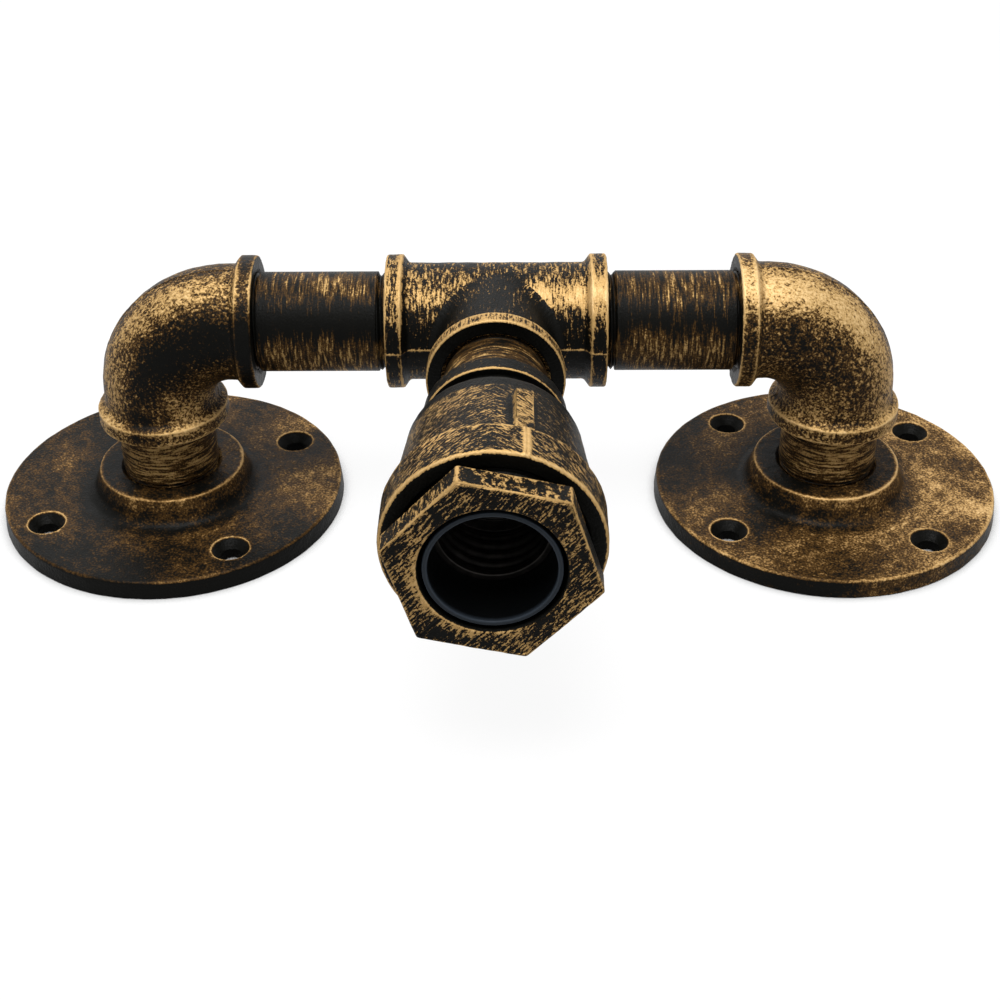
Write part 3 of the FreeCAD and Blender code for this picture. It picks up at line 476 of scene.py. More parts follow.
# %% Bronze over black
BLACK = colour(10, 10, 8)
BROWN = colour(82, 58, 28)
BRONZE = colour(184, 148, 93)
BRIGHT = colour(220, 186, 132)
DRYNESS, EDGE_GAIN, EDGE_CALM = 0.1, 0.75, 0.55
BROWN_FULL, BRONZE_START, BRONZE_FULL, BRIGHT_START, BRIGHT_FULL = 0.06, -0.02, 0.2, 0.35, 1.2
BRONZE_METAL, BROWN_METAL = 0.22, 0.04
BLACK_ROUGH, BRONZE_ROUGH, ROUGH_SPREAD = 0.4, 0.48, 0.3
BRONZE_RELIEF = 0.35


def dry_brush(name, strokes, stroke=2.4, speck=1.5, patch=0.8, patch_scale=90, fine=2000,
              soft=1.0, haze=0.14, gold=BRONZE):
    """Black paint with bronze brushed on. Load = tone + edge + patches + strokes + specks, each noise
    taken about its middle and weighted. Rising load turns black to brown, to bronze, to bright bronze.
    Strokes is how often a metre the pattern changes along each direction of the brush, as patch_scale
    and fine are for patches and specks. Soft widens the borders, and haze starts the brown sooner."""
    p = new_paint(name)
    place, brush = p.place(), p.attribute("brush", "Vector")
    edge, tone = p.attribute("edge"), p.attribute("tone")
    patches = p.noise(place, patch_scale, roughness=0.55)
    stroked = p.noise(p.stretched(brush, strokes), 1.0, roughness=0.6, distortion=0.35)
    specks = p.noise(place, fine, roughness=0.6)
    ragged = (patches - 0.5) * patch + (stroked - 0.5) * stroke + (specks - 0.5) * speck
    load = tone - DRYNESS + edge * EDGE_GAIN + ragged * (1 - edge * EDGE_CALM)
    brown = load.step(-haze * soft, BROWN_FULL * soft)
    bronze = load.step(BRONZE_START * soft, BRONZE_FULL * soft)
    bright = load.step(BRIGHT_START, BRIGHT_FULL)
    return p.finish(
        base_color=p.mix(bright, p.mix(bronze, p.mix(brown, BLACK, BROWN), gold), BRIGHT),
        metallic=bronze * BRONZE_METAL + brown * BROWN_METAL,
        roughness=bronze * (BRONZE_ROUGH - BLACK_ROUGH) + BLACK_ROUGH + (specks - 0.5) * ROUGH_SPREAD,
        normal=p.bump(stroked * 0.5 + specks * 0.5 + bronze * BRONZE_RELIEF, distance=0.0004, strength=0.8),
        specular_ior_level=0.055,
    )


tee_paint = dry_brush("bronze_on_tee", strokes=(1800, 350, 350), patch=1.3, patch_scale=110, soft=1.2)
elbow_paint = dry_brush("bronze_on_elbow", strokes=(1000, 1000, 1000), stroke=2.2, speck=2.6, patch=1.0,
                        patch_scale=120, fine=1700, soft=2.3, haze=0.24)
pipe_paint = dry_brush("bronze_brushed_round", strokes=(1700, 180, 180), stroke=3.1, speck=1.4,
                       patch=1.0, soft=1.7, haze=0.36)
bell_paint = dry_brush("bronze_on_bell", strokes=(2500, 440, 260), stroke=3.2, patch=1.0)
flange_paint = dry_brush("bronze_on_flange", strokes=(300, 300, 300), stroke=1.4, speck=2.6, patch=2.6,
                         patch_scale=48, fine=1600, soft=3.2, haze=0.24, gold=colour(182, 143, 88))
hex_paint = dry_brush("bronze_on_hexagon", strokes=(460, 1900, 460), stroke=3.0, speck=1.8, patch=1.3,
                      patch_scale=110)
paints = (tee_paint, elbow_paint, pipe_paint, bell_paint, flange_paint, hex_paint)
print("paints:", ", ".join(paint.name for paint in paints))

# %% [markdown]
# ## Pipes and their threads
# A nipple is a length of pipe with a taper thread on both ends. Almost all of the thread is hidden in the
# fittings, but a turn or two shows beside each band, and it catches the light in fine rings.

# %% Pipe nipples
THREAD_STEP = THREAD_PITCH / 8
THREAD_SHOWN, PIPE_THREAD_SHOWN = 0.8, 2.4
LEG_LOW, LEG_LENGTH, LEG_LOW_THREAD = 2.2, 37.9, 10.0
PIPE_START, PIPE_LENGTH = 76.35, 58.85
BRANCH_START, BRANCH_LENGTH = 20.0, 41.5
# A painted shadow: the paint is darker beside the threads, where a fitting meets the pipe.
THREAD_SHADE, THREAD_SHADE_WIDTH = 0.45, 2.2
# A painted dark reflection along each long pipe's middle, where it faces the front.
PIPE_DARK_REFLECTION = {"left": 0.9, "right": 0.6}


def nipple(name, length, path, rows, base, low_thread=THREAD_LENGTH, high_shown=THREAD_SHOWN):
    """A tube whose outer wall is a thread, a plain pipe and a thread again. The rows of (weight, middle,
    span) add or take bronze round the pipe; on the long pipes they hold painted highlight and a painted
    dark reflection. A painted shadow darkens the paint by the threads, where the fittings meet the pipe."""
    low, high = low_thread + THREAD_SHOWN, length - THREAD_LENGTH - high_shown
    s, r, _ = shape = profile([
        (0, PIPE_BORE_R, 0, 0, 6), (0, THREAD_R, 0, 0, THREAD_STEP), (low, THREAD_R, 0, 0, 1),
        (low, PIPE_R, 0.15, 0.5, 1), (high, PIPE_R, 0.15, 0.5, 1), (high, THREAD_R, 0, 0, THREAD_STEP),
        (length, THREAD_R, 0, 0, 2), (length, PIPE_BORE_R, 0, 0, 6)])
    theta = angles(128)
    cut = (np.abs(r - THREAD_R) < TOUCH) & ((s < low - TOUCH) | (s > high + TOUCH))
    turns = thread(s, theta, THREAD_R, THREAD_PITCH, THREAD_DEPTH)
    radius = np.where(cut[:, None], turns, r[:, None])
    # Painted shadow beside the threads.
    shade_by_threads = near(s, low, THREAD_SHADE_WIDTH) + near(s, high, THREAD_SHADE_WIDTH)
    tone = base + spots(theta, *rows)[None, :] - THREAD_SHADE * shade_by_threads[:, None]
    return piece(name, [carried(shape, path, theta, radius, tone)], name, pipe_paint)


for side, word in SIDES:
    nipple(f"{word}_leg_nipple", LEG_LENGTH, straight(np.array([side * LEG_X, 0, LEG_LOW]), Z, X),
           [(0.2, 270, 60)], base=0.02, low_thread=LEG_LOW_THREAD)
    front = -side
    # The long pipes' rows: small painted highlights near the top and just below the front middle, a painted
    # dark reflection along the middle facing the front, and less bronze just behind the top.
    nipple(f"{word}_pipe", PIPE_LENGTH, straight(CORNER + side * PIPE_START * X, -side * X, Z),
           [(0.06, 15 * front, 20), (-PIPE_DARK_REFLECTION[word], 60 * front, 20), (0.12, 105 * front, 25),
            (-0.4, -25 * front, 14)], base=-0.1, high_shown=PIPE_THREAD_SHOWN)
nipple("branch_nipple", BRANCH_LENGTH, straight(CORNER - BRANCH_START * Y, -Y, Z),
       [(0.1, 0, 50)], base=-0.14)

# %% [markdown]
# ## Elbows
# An elbow is a tube bent through a right angle, with a thick band at each mouth. The mould that it was
# cast in closed in the plane of the bend, which left a fine raised seam.

# %% Elbows
SEAM_HEIGHT, SEAM_WIDTH = 0.22, 0.45
WALL, FACE_MARGIN = 1.5, 0.6
# How much bronze each side gets: a painted highlight over the top of the bend, a painted shade along the
# middle that faces the front, bronze by the foot, black on the first band, and the load all over.
ELBOW_BRONZE_AND_LIGHT = {"left": (0.6, 0.65, 0.5, 0.45, -0.14), "right": (0.85, 0.25, 0.25, 0.0, -0.02)}
HIGHLIGHT_ANGLE, SHADE_ANGLE, FADE_SPAN, FOOT_SPAN = 60, 10, (20, 40), (24, 38)
HIGHLIGHT_FADE, FACE_BARE = 0.6, 0.8


def seam(theta, radius, centres):
    """A fine ridge: height times exp(-(distance / width) squared), measured round the surface."""
    away = np.min([np.abs(wrapped(theta - math.radians(c))) for c in centres], axis=0)
    return SEAM_HEIGHT * near(away[None, :] * radius, 0, SEAM_WIDTH)


def banded_end(face, sense, body):
    """Corners of a banded mouth, from the body out to the face. Sense is +1 where the face lies ahead."""
    back = face - sense * BAND_WIDTH
    return [(back - sense * BAND_SLOPE, body, 1.2, 0.0, 1.0), (back, BAND_R, BAND_ROUND, 0.9, 0.8),
            (face, BAND_R, BAND_ROUND, 1.0, 0.8), (face, SOCKET_R + BEVEL, 0.2, 0.25, 0.8),
            (face - sense * BEVEL, SOCKET_R, 0.2, 0, 3)]


def open_tube(low_face, high_face):
    """Corners of a fitting open at both ends: two banded mouths, then two sockets on a waterway."""
    low, high = low_face + SOCKET_DEPTH, high_face - SOCKET_DEPTH
    return (banded_end(low_face, -1, BODY_R)[::-1] + banded_end(high_face, 1, BODY_R)
            + [(high, SOCKET_R, 0, 0, 3), (high, WATERWAY_R, 0, 0, 2),
               (low, WATERWAY_R, 0, 0, 3), (low, SOCKET_R, 0, 0, 3)])


for side, word in SIDES:
    s, r, _ = shape = profile(open_tube(0, ELBOW_LENGTH))
    theta = angles(144, (0, 180), 3.0)
    within_band = r < BAND_R - FACE_MARGIN
    body = (r > SOCKET_R + WALL) & within_band
    radius = r[:, None] + seam(theta, r[:, None], (0, 180)) * body[:, None]
    top, painted_shade, foot, band, base = ELBOW_BRONZE_AND_LIGHT[word]
    front = 90 * side
    # A painted highlight over the top of the bend, fading towards the foot, and a painted shade along the
    # middle that faces the front go into the load.
    load = (top * (1 - HIGHLIGHT_FADE * ramp(s, *FADE_SPAN))[:, None] * facing(theta, front - HIGHLIGHT_ANGLE * side, 23)
            - painted_shade * facing(theta, front - SHADE_ANGLE * side, 26)
            + foot * ramp(s, *FOOT_SPAN)[:, None] * facing(theta, front, 60))
    faces = (near(s, 0, 0.5) + near(s, ELBOW_LENGTH, 0.5)) * within_band
    tone = base + load - (FACE_BARE * faces + band * near(s, BAND_WIDTH / 2, 2.6))[:, None]
    path = elbow_path(CORNER + side * LEG_X * X, side)
    piece(f"{word}_elbow", [carried(shape, path, theta, radius, tone)], f"{word}_elbow",
          elbow_paint, skin=0.16, seed=3 + side)

# %% [markdown]
# ## The tee
# The tee is two tubes that cross. Where the branch leaves the run there is a soft saddle, so the branch's
# last rows leave its own cylinder and land on the run's, measured along the run's surface.

# %% Tee
FACE_DEPTH = 0.1
LANDING_SINK = 0.06
BRANCH_ROOT = 12.6


def tee_run():
    """The run: a closed profile turned about X, with a seam in the horizontal plane."""
    s, r, edge = profile(open_tube(-TEE_REACH, TEE_REACH))
    theta = angles(144, (90, 270), 3.0)
    ridge = seam(theta, r[:, None], (90, 270)) * (r > SOCKET_R + WALL)[:, None]
    edge = np.maximum(edge[:, None], ridge / SEAM_HEIGHT)
    # A painted highlight on the run's upper front, a painted shade along its front middle, and a painted
    # shade in the crease by each band.
    painted_highlight = (0.46 + 0.16 * np.sign(s)) * ramp(np.abs(s), 6, 11)
    shade_by_band = 0.35 * near(np.abs(s), 24.2, 0.6)
    face = 0.7 * ((np.abs(s) > TEE_REACH - FACE_DEPTH) & (r < BAND_R - FACE_MARGIN))
    tone = (-0.06 + painted_highlight[:, None] * facing(theta, 34, 22)[None, :]
            - 0.3 * facing(theta, 95, 28)[None, :] - (shade_by_band + face)[:, None])
    return carried((s, r, edge), straight(CORNER, X, Z), theta, r[:, None] + ridge, tone)


def tee_branch():
    """The branch: rows of the banded tube, then rows that bend from the branch's cylinder on to the
    run's. A row's point is the quadratic curve through a point up the branch, the crossing, and a
    point the same distance away from the crossing along the run's surface."""
    theta = angles(160)
    across, up = -np.sin(theta) * BRANCH_R, np.cos(theta) * BRANCH_R
    lift = np.sqrt(BODY_R ** 2 - up ** 2)
    wrap = np.arcsin(up / BODY_R)
    step = np.stack([np.gradient(np.r_[across[-1], across, across[0]])[1:-1],
                     np.gradient(np.r_[wrap[-1], wrap, wrap[0]])[1:-1] * BODY_R])
    step /= norm(step, axis=0)
    normal = np.stack([-step[1], step[0]])
    normal = normal * np.sign((normal * np.stack([across, wrap * BODY_R])).sum(0))
    land_wrap = wrap + normal[1] * SADDLE / BODY_R
    sunk = BODY_R - LANDING_SINK
    landing = np.stack([across + normal[0] * SADDLE, -np.cos(land_wrap) * sunk, np.sin(land_wrap) * sunk], 1)
    crossing = np.stack([across, -lift, up], 1)
    leaving = np.stack([across, -lift - SADDLE, up], 1)
    t = np.linspace(0, 1, 10)[:, None, None]
    flare = (1 - t) ** 2 * leaving + 2 * t * (1 - t) * crossing + t ** 2 * landing
    socket_end = BRANCH_REACH - SOCKET_DEPTH
    s, r, edge = profile(
        [(BODY_R + SADDLE + 0.3, BRANCH_R, 0, 0, 0.8)] + banded_end(BRANCH_REACH, 1, BRANCH_R)
        + [(socket_end, SOCKET_R, 0, 0, 1), (socket_end, WATERWAY_R, 0, 0, 1),
           (BRANCH_ROOT, WATERWAY_R, 0, 0, 1)], closed=False)
    tube = np.stack([-np.sin(theta) * r[:, None], -s[:, None] * np.ones_like(theta),
                     np.cos(theta) * r[:, None]], -1)
    buried = landing * 0.97 + np.array([0, 0.3, 0])
    points = np.concatenate([buried[None], flare[::-1], tube])
    edges = np.concatenate([np.zeros(len(points) - len(s)), edge])[:, None]
    along = -points[..., 1]
    brush = np.stack([BRANCH_R * np.broadcast_to(wrapped(theta), along.shape), along,
                      np.zeros_like(along)], -1)
    face = ((along > BRANCH_REACH - FACE_DEPTH)
            & (np.hypot(points[..., 0], points[..., 2]) < BAND_R - FACE_MARGIN))
    tone = -0.22 - 0.45 * near(along, 15.5, 3.5) + 0.42 * near(along, 29.5, 2.4) - 0.9 * face
    return points + CORNER, grid_faces(len(points), len(theta)), edges, tone, brush


piece("tee", [tee_run(), tee_branch()], "tee", tee_paint, skin=0.14, seed=7)

# %% [markdown]
# ## The reducer
# The bell-shaped socket steps from the small pipe up to the wide bush. Two ribs are cast along it for the
# pipe wrench to push on, and a fine ridge runs on over the big band.

# %% Reducer
RIB_R, RIB_HALF, RIB_START, RIB_SLOPE = 25.0, 2.2, 73.5, 0.25
BAND_END, NECK_R, NECK_END = 54.9, 15.5, 60.6
SHOULDER_R, CONE_R, BIG_BAND_R, BIG_BAND_BACK = 20.8, 24.0, 25.95, REDUCER_FRONT - 11.2
MOUTH_R, SEAT, CHAMBER_R, CHAMBER_END, LEDGE_R, LEDGE_END = 21.0, 87.0, 17.5, 64.0, 11.5, 62.5
BELL_MEAN_R, RIDGE_HEIGHT, RIDGE_OFF, RIDGE_WIDTH = 23.5, 0.3, 0.4, 0.6
STROKE_SLANT, STROKE_R = 35, 23.0
HALF_SHIFT, HALF_BLEND = 4.0, 0.15


def reducer():
    """The bell: a closed profile turned about the head's axis. In the ribs' windows of angle and length
    the radius rises to the rib's own. The strokes slant away from the top on both sides, and a shift
    between the two halves keeps them from mirroring each other."""
    s, r, edge = profile([
        (REDUCER_REAR, SOCKET_R + BEVEL, 0.2, 0.1, 1), (REDUCER_REAR, BAND_R, 0.7, 1.0, 0.7),
        (BAND_END, BAND_R, 0.8, 1.5, 0.5), (BAND_END, NECK_R, 0.8, 0, 0.7),
        (NECK_END, NECK_R, 0.3, 0, 0.6), (NECK_END, SHOULDER_R, 5.1, 0, 0.7),
        (BIG_BAND_BACK - 2.0, CONE_R, 0.8, 0, 0.5), (BIG_BAND_BACK, BIG_BAND_R, 0.8, 0.5, 0.8),
        (REDUCER_FRONT, BIG_BAND_R, 1.1, 1.3, 0.8), (REDUCER_FRONT, MOUTH_R + BEVEL, 0.2, 0, 0.8),
        (REDUCER_FRONT - BEVEL, MOUTH_R, 0.2, 0, 2), (SEAT, MOUTH_R, 0, 0, 2), (SEAT, CHAMBER_R, 0, 0, 2),
        (CHAMBER_END, CHAMBER_R, 0, 0, 2), (CHAMBER_END, LEDGE_R, 0, 0, 2), (LEDGE_END, LEDGE_R, 0, 0, 2),
        (LEDGE_END, SOCKET_R, 0, 0, 2), (REDUCER_REAR + BEVEL, SOCKET_R, 0.2, 0, 1)])
    theta = angles(176, (RIB_TURN, RIB_TURN + 180), 8.0, 40)
    radius = np.broadcast_to(r[:, None], (len(s), len(theta))).copy()
    worn = np.broadcast_to(edge[:, None], radius.shape).copy()
    shade_beside_rib, on_rib = np.zeros_like(radius), np.zeros_like(radius)
    over_band = ((s > BIG_BAND_BACK - 1.5) & (r > CONE_R))[:, None]
    outside = (s < BIG_BAND_BACK) & (r > NECK_R - 0.5)
    length = (ramp(s, RIB_START, RIB_START + 0.8) * outside)[:, None]
    for centre in (RIB_TURN, RIB_TURN + 180):
        away = np.abs(wrapped(theta - math.radians(centre)))[None, :] * BELL_MEAN_R
        across = ramp(away, RIB_HALF + RIB_SLOPE, RIB_HALF - RIB_SLOPE)
        rise = across * across * (3 - 2 * across) * length * (r > SHOULDER_R - 0.3)[:, None]
        rib_edge = (0.35 + 0.65 * near(away, RIB_HALF, 0.4)) * (away < RIB_HALF + 0.3)
        ridge = near(away, RIDGE_OFF, RIDGE_WIDTH) * over_band
        worn = np.maximum(np.maximum(worn, 0.8 * rib_edge * length), ridge)
        radius = radius + rise * np.clip(RIB_R - radius, 0, None) + RIDGE_HEIGHT * ridge
        on_rib = np.maximum(on_rib, rise)
        # Painted shade in the corner beside each rib: less bronze there.
        shade_beside_rib = np.maximum(shade_beside_rib, near(away, RIB_HALF + 0.75, 0.5) * length)
    neck = (s > BAND_END - TOUCH) & (s < NECK_END + 6.9) & (r > NECK_R - 0.3) & (r < SHOULDER_R + 0.8)
    band_face = (s > BAND_END - TOUCH) & (s < BAND_END + 0.1) & (r < NECK_R + 1.7)
    mouth_face = (s > REDUCER_FRONT - 1.1) & (r < BIG_BAND_R - 1.05)
    bare = 0.4 * (s < BAND_END - 0.1) + 1.2 * (neck | band_face | mouth_face)
    tone = (-0.14 + spots(theta, (0.1, 28, 40), (-0.15, -45, 28), (-0.25, 180, 110))[None, :]
            + 0.4 * facing(theta, -45, 28)[None, :] * (s > BIG_BAND_BACK)[:, None]
            - bare[:, None] - shade_beside_rib + 0.14 * on_rib)
    points, faces, _, _, _ = carried((s, r, edge), straight(CORNER, -Y, Z), theta, radius)
    turned = wrapped(theta)
    span = np.abs(turned)[None, :] * STROKE_R
    slant = math.radians(STROKE_SLANT)
    brush = np.stack(np.broadcast_arrays(
        s[:, None] * math.cos(slant) - span * math.sin(slant),
        span * math.cos(slant) + s[:, None] * math.sin(slant),
        HALF_SHIFT * np.clip(turned / HALF_BLEND, -1, 1)[None, :]), -1)
    return points, faces, worn, tone, brush


piece("reducer", [reducer()], "reducer", bell_paint, skin=0.14, seed=11)

# %% [markdown]
# ## The hexagon bush
# Its head is a hexagon outside and round inside. Both outlines share the same angles, so a grid can run
# from one to the other: each row says how much of the hexagon it takes.

# %% Hexagon bush
HEX_HALF_FLATS, HEX_CORNER_R, HEX_ROUND = 22.0, 25, 0.45
BUSH_REAR, BUSH_BORE_R, BUSH_THREAD_R, BUSH_PITCH, BUSH_THREAD_DEPTH = 88.0, 16.5, 20.95, 2.309, 1.1
SHARPNESS, CORNER_CUT = 260, 0.006
ROUND_WITHIN = 17.5
GROOVE_TURN, GROOVE_DEPTH, GROOVE_WIDTH = HEX_TURN + 120, 0.14, 0.3
HEX_STROKES = 50


def hex_bush():
    """The head and its threaded neck. A row's outline is (1 - k) times a circle plus k times a hexagon
    with rounded corners, where k is 1 on the head's outside and 0 elsewhere."""
    theta = angles(240, tuple(HEX_TURN + 60 * i for i in range(6)), 1.6, 18)
    from_corner = np.abs((theta - math.radians(HEX_TURN) + math.pi / 6) % (math.pi / 3) - math.pi / 6)
    flat = 1 / np.cos(math.pi / 6 - from_corner)
    corner = 1 / math.cos(math.pi / 6) - CORNER_CUT
    hexagon = -np.logaddexp(-SHARPNESS * flat, -SHARPNESS * corner) / SHARPNESS
    s, r, edge = shape = profile([
        (BUSH_REAR, BUSH_BORE_R, 0.3, 0, 1), (BUSH_REAR, 19.9, 0.5, 0, 1),
        (BUSH_REAR + 1, BUSH_THREAD_R, 0.2, 0, BUSH_PITCH / 8), (HEX_BACK, BUSH_THREAD_R, 0, 0, 0.5),
        (HEX_BACK, HEX_HALF_FLATS, HEX_ROUND, 0.9, 0.6), (HEX_FRONT, HEX_HALF_FLATS, HEX_ROUND, 1.0, 0.6),
        (HEX_FRONT, BUSH_BORE_R, 0.8, 0.8, 1.5)])
    k = ramp(r, BUSH_THREAD_R, HEX_HALF_FLATS) * (s > HEX_BACK - 0.01)
    k = np.where(s > HEX_FRONT - 0.01, ramp(r, ROUND_WITHIN, HEX_HALF_FLATS - HEX_ROUND), k)
    radius = r[:, None] * (1 + k[:, None] * (hexagon - 1)[None, :])
    neck = (s > BUSH_REAR + 1.2) & (s < HEX_BACK - TOUCH) & (r > BUSH_THREAD_R - 0.02)
    turns = thread(s, theta, BUSH_THREAD_R, BUSH_PITCH, BUSH_THREAD_DEPTH)
    radius = np.where(neck[:, None], turns, radius)
    points, faces, _, _, brush = carried(shape, straight(CORNER, -Y, Z), theta, radius)
    front = (s > HEX_FRONT - 0.4)[:, None]
    upper, left = facing(theta, 10, 75)[None, :], facing(theta, 120, 70)[None, :]
    arris = near(from_corner * HEX_CORNER_R, 0, 0.8)[None, :] * (k > 0.97)[:, None]
    # The outer arrises kept more bronze at the top, and the mouth's arris more at the left.
    kept = np.where(radius > 19, 0.45 + 0.55 * upper, 0.2 + 0.9 * left)
    worn = np.maximum(edge[:, None] * np.ones_like(radius), arris) ** 1.5 * kept
    groove = near((theta - math.radians(GROOVE_TURN)) * radius, 0, GROOVE_WIDTH) * (
        front & (r > 17.4)[:, None])
    points = points + (GROOVE_DEPTH * groove)[..., None] * Y
    lean = math.radians(HEX_STROKES) * front
    brush = np.stack([brush[..., 0], brush[..., 1] * np.cos(lean) + brush[..., 2] * np.sin(lean),
                      brush[..., 2] * np.cos(lean) - brush[..., 1] * np.sin(lean)], -1)
    mouth = near(radius, 17.6, 1.4) * front
    bare = 0.9 * (s < HEX_BACK + 0.02) + 0.9 * (r < BUSH_BORE_R + 0.2)
    tone = (-0.14 + spots(theta, (0.02, 60, 60), (0.16, -90, 60))[None, :] + (0.55 * left - 0.1) * mouth
            - 0.45 * ~front * facing(theta, -73, 30)[None, :] - 0.5 * groove - bare[:, None])
    return points, faces, worn, tone, brush


piece("hex_bush", [hex_bush()], "hex_bush", hex_paint, skin=0.08, seed=13)

# %% [markdown]
# ## Floor flanges
# The plate has four countersunk holes, so it can't be turned in one go. Each quarter of the plate is a
# patch that spreads from the rim of its hole to the quarter's own outline, and the hub and the rim are
# turned strips that meet the patches point for point.

# %% Flanges
PLATE_R, PLATE_TOP, HUB_R, HUB_TOP = 48.6, 5.2, 20.4, 12.2
INNER_R, OUTER_R, HOLE_CIRCLE_R = 27.0, 46.9, 38.6
HOLE_R, SINK_R, SINK_DEPTH, HOLE_PATCH_R = 2.75, 5.3, 2.55, 5.62
QUARTER, SPOKE, SPREAD_ROWS, SPREAD_POWER = 48, 16, 15, 1.3
FOOT_R, FOOT_WIDTH, FOOT_DARKENING = 24.0, 3.0, 0.5
FLANGE_DRYNESS = 0.04


def brushed(x, y, side):
    """How much bronze a flange got on each side of its axis: more at the right and the front of the right
    flange, less all round the left one."""
    angle = np.arctan2(y, x)
    if side > 0:
        load = spots(angle, (0.4, -10, 60), (-0.3, 180, 55))
    else:
        load = spots(angle, (0.25, 20, 50), (-0.15, -110, 60)) - 0.3
    return load - FLANGE_DRYNESS


# Less bronze round the hub's foot, so the paint is darker there.
def less_bronze_round_foot(r):
    return FOOT_DARKENING * near(r, FOOT_R, FOOT_WIDTH)


def strip(rows, theta, centre):
    """An open profile (height, radius ...) turned about an upright axis."""
    height, r, edge = profile(rows, closed=False)
    x, y = r[:, None] * np.cos(theta), r[:, None] * np.sin(theta)
    points = np.stack([x, y, np.broadcast_to(height[:, None], x.shape)], -1) + centre
    brush = np.stack([np.broadcast_to(r[:, None] - height[:, None], x.shape), x, y], -1)
    rim = (r > PLATE_R - 1.0) & (height < PLATE_TOP - 0.6)
    hub_top = (height > HUB_TOP - 0.1) & (r < HUB_R - 0.8)
    patch = 0.75 * facing(np.arctan2(y, x), -72, 24) * (centre[0] > 0)
    bare = 0.35 * hub_top + less_bronze_round_foot(r) * (height < 9)
    tone = brushed(x, y, centre[0]) - 0.9 * rim[:, None] * (1 - patch) - bare[:, None]
    return points, grid_faces(len(height), len(theta), False)[:, ::-1], edge[:, None], tone, brush


def plate_quarter(turn, height, hole_r, centre, down=False):
    """Spreads from a hole's rim to a quarter of the plate: in polar coordinates about the flange's axis,
    point = (1 - t) times the rim's point plus t times the outline's."""
    swing = np.radians(np.linspace(-45, 45, QUARTER + 1))
    reach = np.linspace(INNER_R, OUTER_R, SPOKE + 1)
    r = np.concatenate([reach[:-1], np.full(QUARTER, OUTER_R), reach[:0:-1], np.full(QUARTER, INNER_R)])
    a = np.concatenate([np.full(SPOKE, swing[0]), swing[:-1], np.full(SPOKE, swing[-1]), swing[:0:-1]])
    view = np.unwrap(np.arctan2(HOLE_CIRCLE_R * a, r - HOLE_CIRCLE_R))
    rim_x, rim_y = HOLE_CIRCLE_R + hole_r * np.cos(view), hole_r * np.sin(view)
    t = (np.linspace(0, 1, SPREAD_ROWS) ** SPREAD_POWER)[:, None]
    polar_r = (1 - t) * np.hypot(rim_x, rim_y) + t * r
    polar_a = (1 - t) * np.arctan2(rim_y, rim_x) + t * a + turn
    x, y = polar_r * np.cos(polar_a), polar_r * np.sin(polar_a)
    points = np.stack([x, y, np.full_like(x, height)], -1) + centre
    faces = grid_faces(len(t), len(r), False)
    faces = faces if down else faces[:, ::-1]
    from_hole = np.hypot(x - HOLE_CIRCLE_R * math.cos(turn), y - HOLE_CIRCLE_R * math.sin(turn))
    tone = brushed(x, y, centre[0]) - less_bronze_round_foot(polar_r)
    edge = 0.5 * near(from_hole, 5.5, 0.45)
    return (points, faces, edge, tone, np.stack([polar_r, x, y], -1)), view


def hole_wall(turn, view, centre):
    """The countersunk wall of one hole: its own small profile turned about the hole's axis."""
    height, r, edge = profile([
        (PLATE_TOP, HOLE_PATCH_R, 0, 0, 0.2), (PLATE_TOP, SINK_R, 0.2, 0.9, 0.5),
        (PLATE_TOP - SINK_DEPTH, HOLE_R, 0.2, 0, 0.5), (0.0, HOLE_R, 0, 0, 0.5)], closed=False)
    out, aside = HOLE_CIRCLE_R + r[:, None] * np.cos(view), r[:, None] * np.sin(view)
    x = out * math.cos(turn) - aside * math.sin(turn)
    y = out * math.sin(turn) + aside * math.cos(turn)
    points = np.stack([x, y, np.broadcast_to(height[:, None], x.shape)], -1) + centre
    tone = np.where(height < PLATE_TOP - 0.3, -1.2, 0)[:, None]
    return points, grid_faces(len(height), len(view), False), edge[:, None], tone, points - centre


for side, word in SIDES:
    centre = np.array([side * LEG_X, 0, 0])
    first = math.radians(FLANGE_TURNS[word])
    theta = first - math.pi / 4 + np.arange(4 * QUARTER) * QUARTER_TURN / QUARTER
    patches = [
        strip([(PLATE_TOP, OUTER_R, 0, 0, 1), (PLATE_TOP, PLATE_R - 0.5, 0.9, 0.6, 0.8),
               (0, PLATE_R, 0.1, 0.2, 1), (0, OUTER_R, 0, 0, 1)], theta, centre),
        strip([(0, INNER_R, 0, 0, 2), (0, SOCKET_R, 0, 0, 2), (HUB_TOP - BEVEL, SOCKET_R, 0.1, 0, 0.5),
               (HUB_TOP, SOCKET_R + BEVEL, 0.2, 0.2, 0.6), (HUB_TOP, HUB_R, 0.7, 1.0, 0.7),
               (PLATE_TOP, 22.8, 3.0, 0, 0.8), (PLATE_TOP, INNER_R, 0, 0, 1)], theta, centre)]
    for i in range(4):
        turn = first + i * QUARTER_TURN
        top, view = plate_quarter(turn, PLATE_TOP, HOLE_PATCH_R, centre)
        under, _ = plate_quarter(turn, 0.0, HOLE_R, centre, down=True)
        patches += [top, under, hole_wall(turn, view, centre)]
    piece(f"{word}_flange", patches, f"{word}_flange", flange_paint, skin=0.14,
          seed=17 + side)

# %% [markdown]
# ## The lampholder
# The ring inside the hexagon is the moulded skirt of a lampholder, smooth and nearly black. Inside it
# sits the rolled screw shell: thin sheet whose wave winds on like a screw, to take the lamp's cap.

# %% Lampholder
moulding = new_paint("black_moulding")
mottle = moulding.noise(moulding.place(), 900)
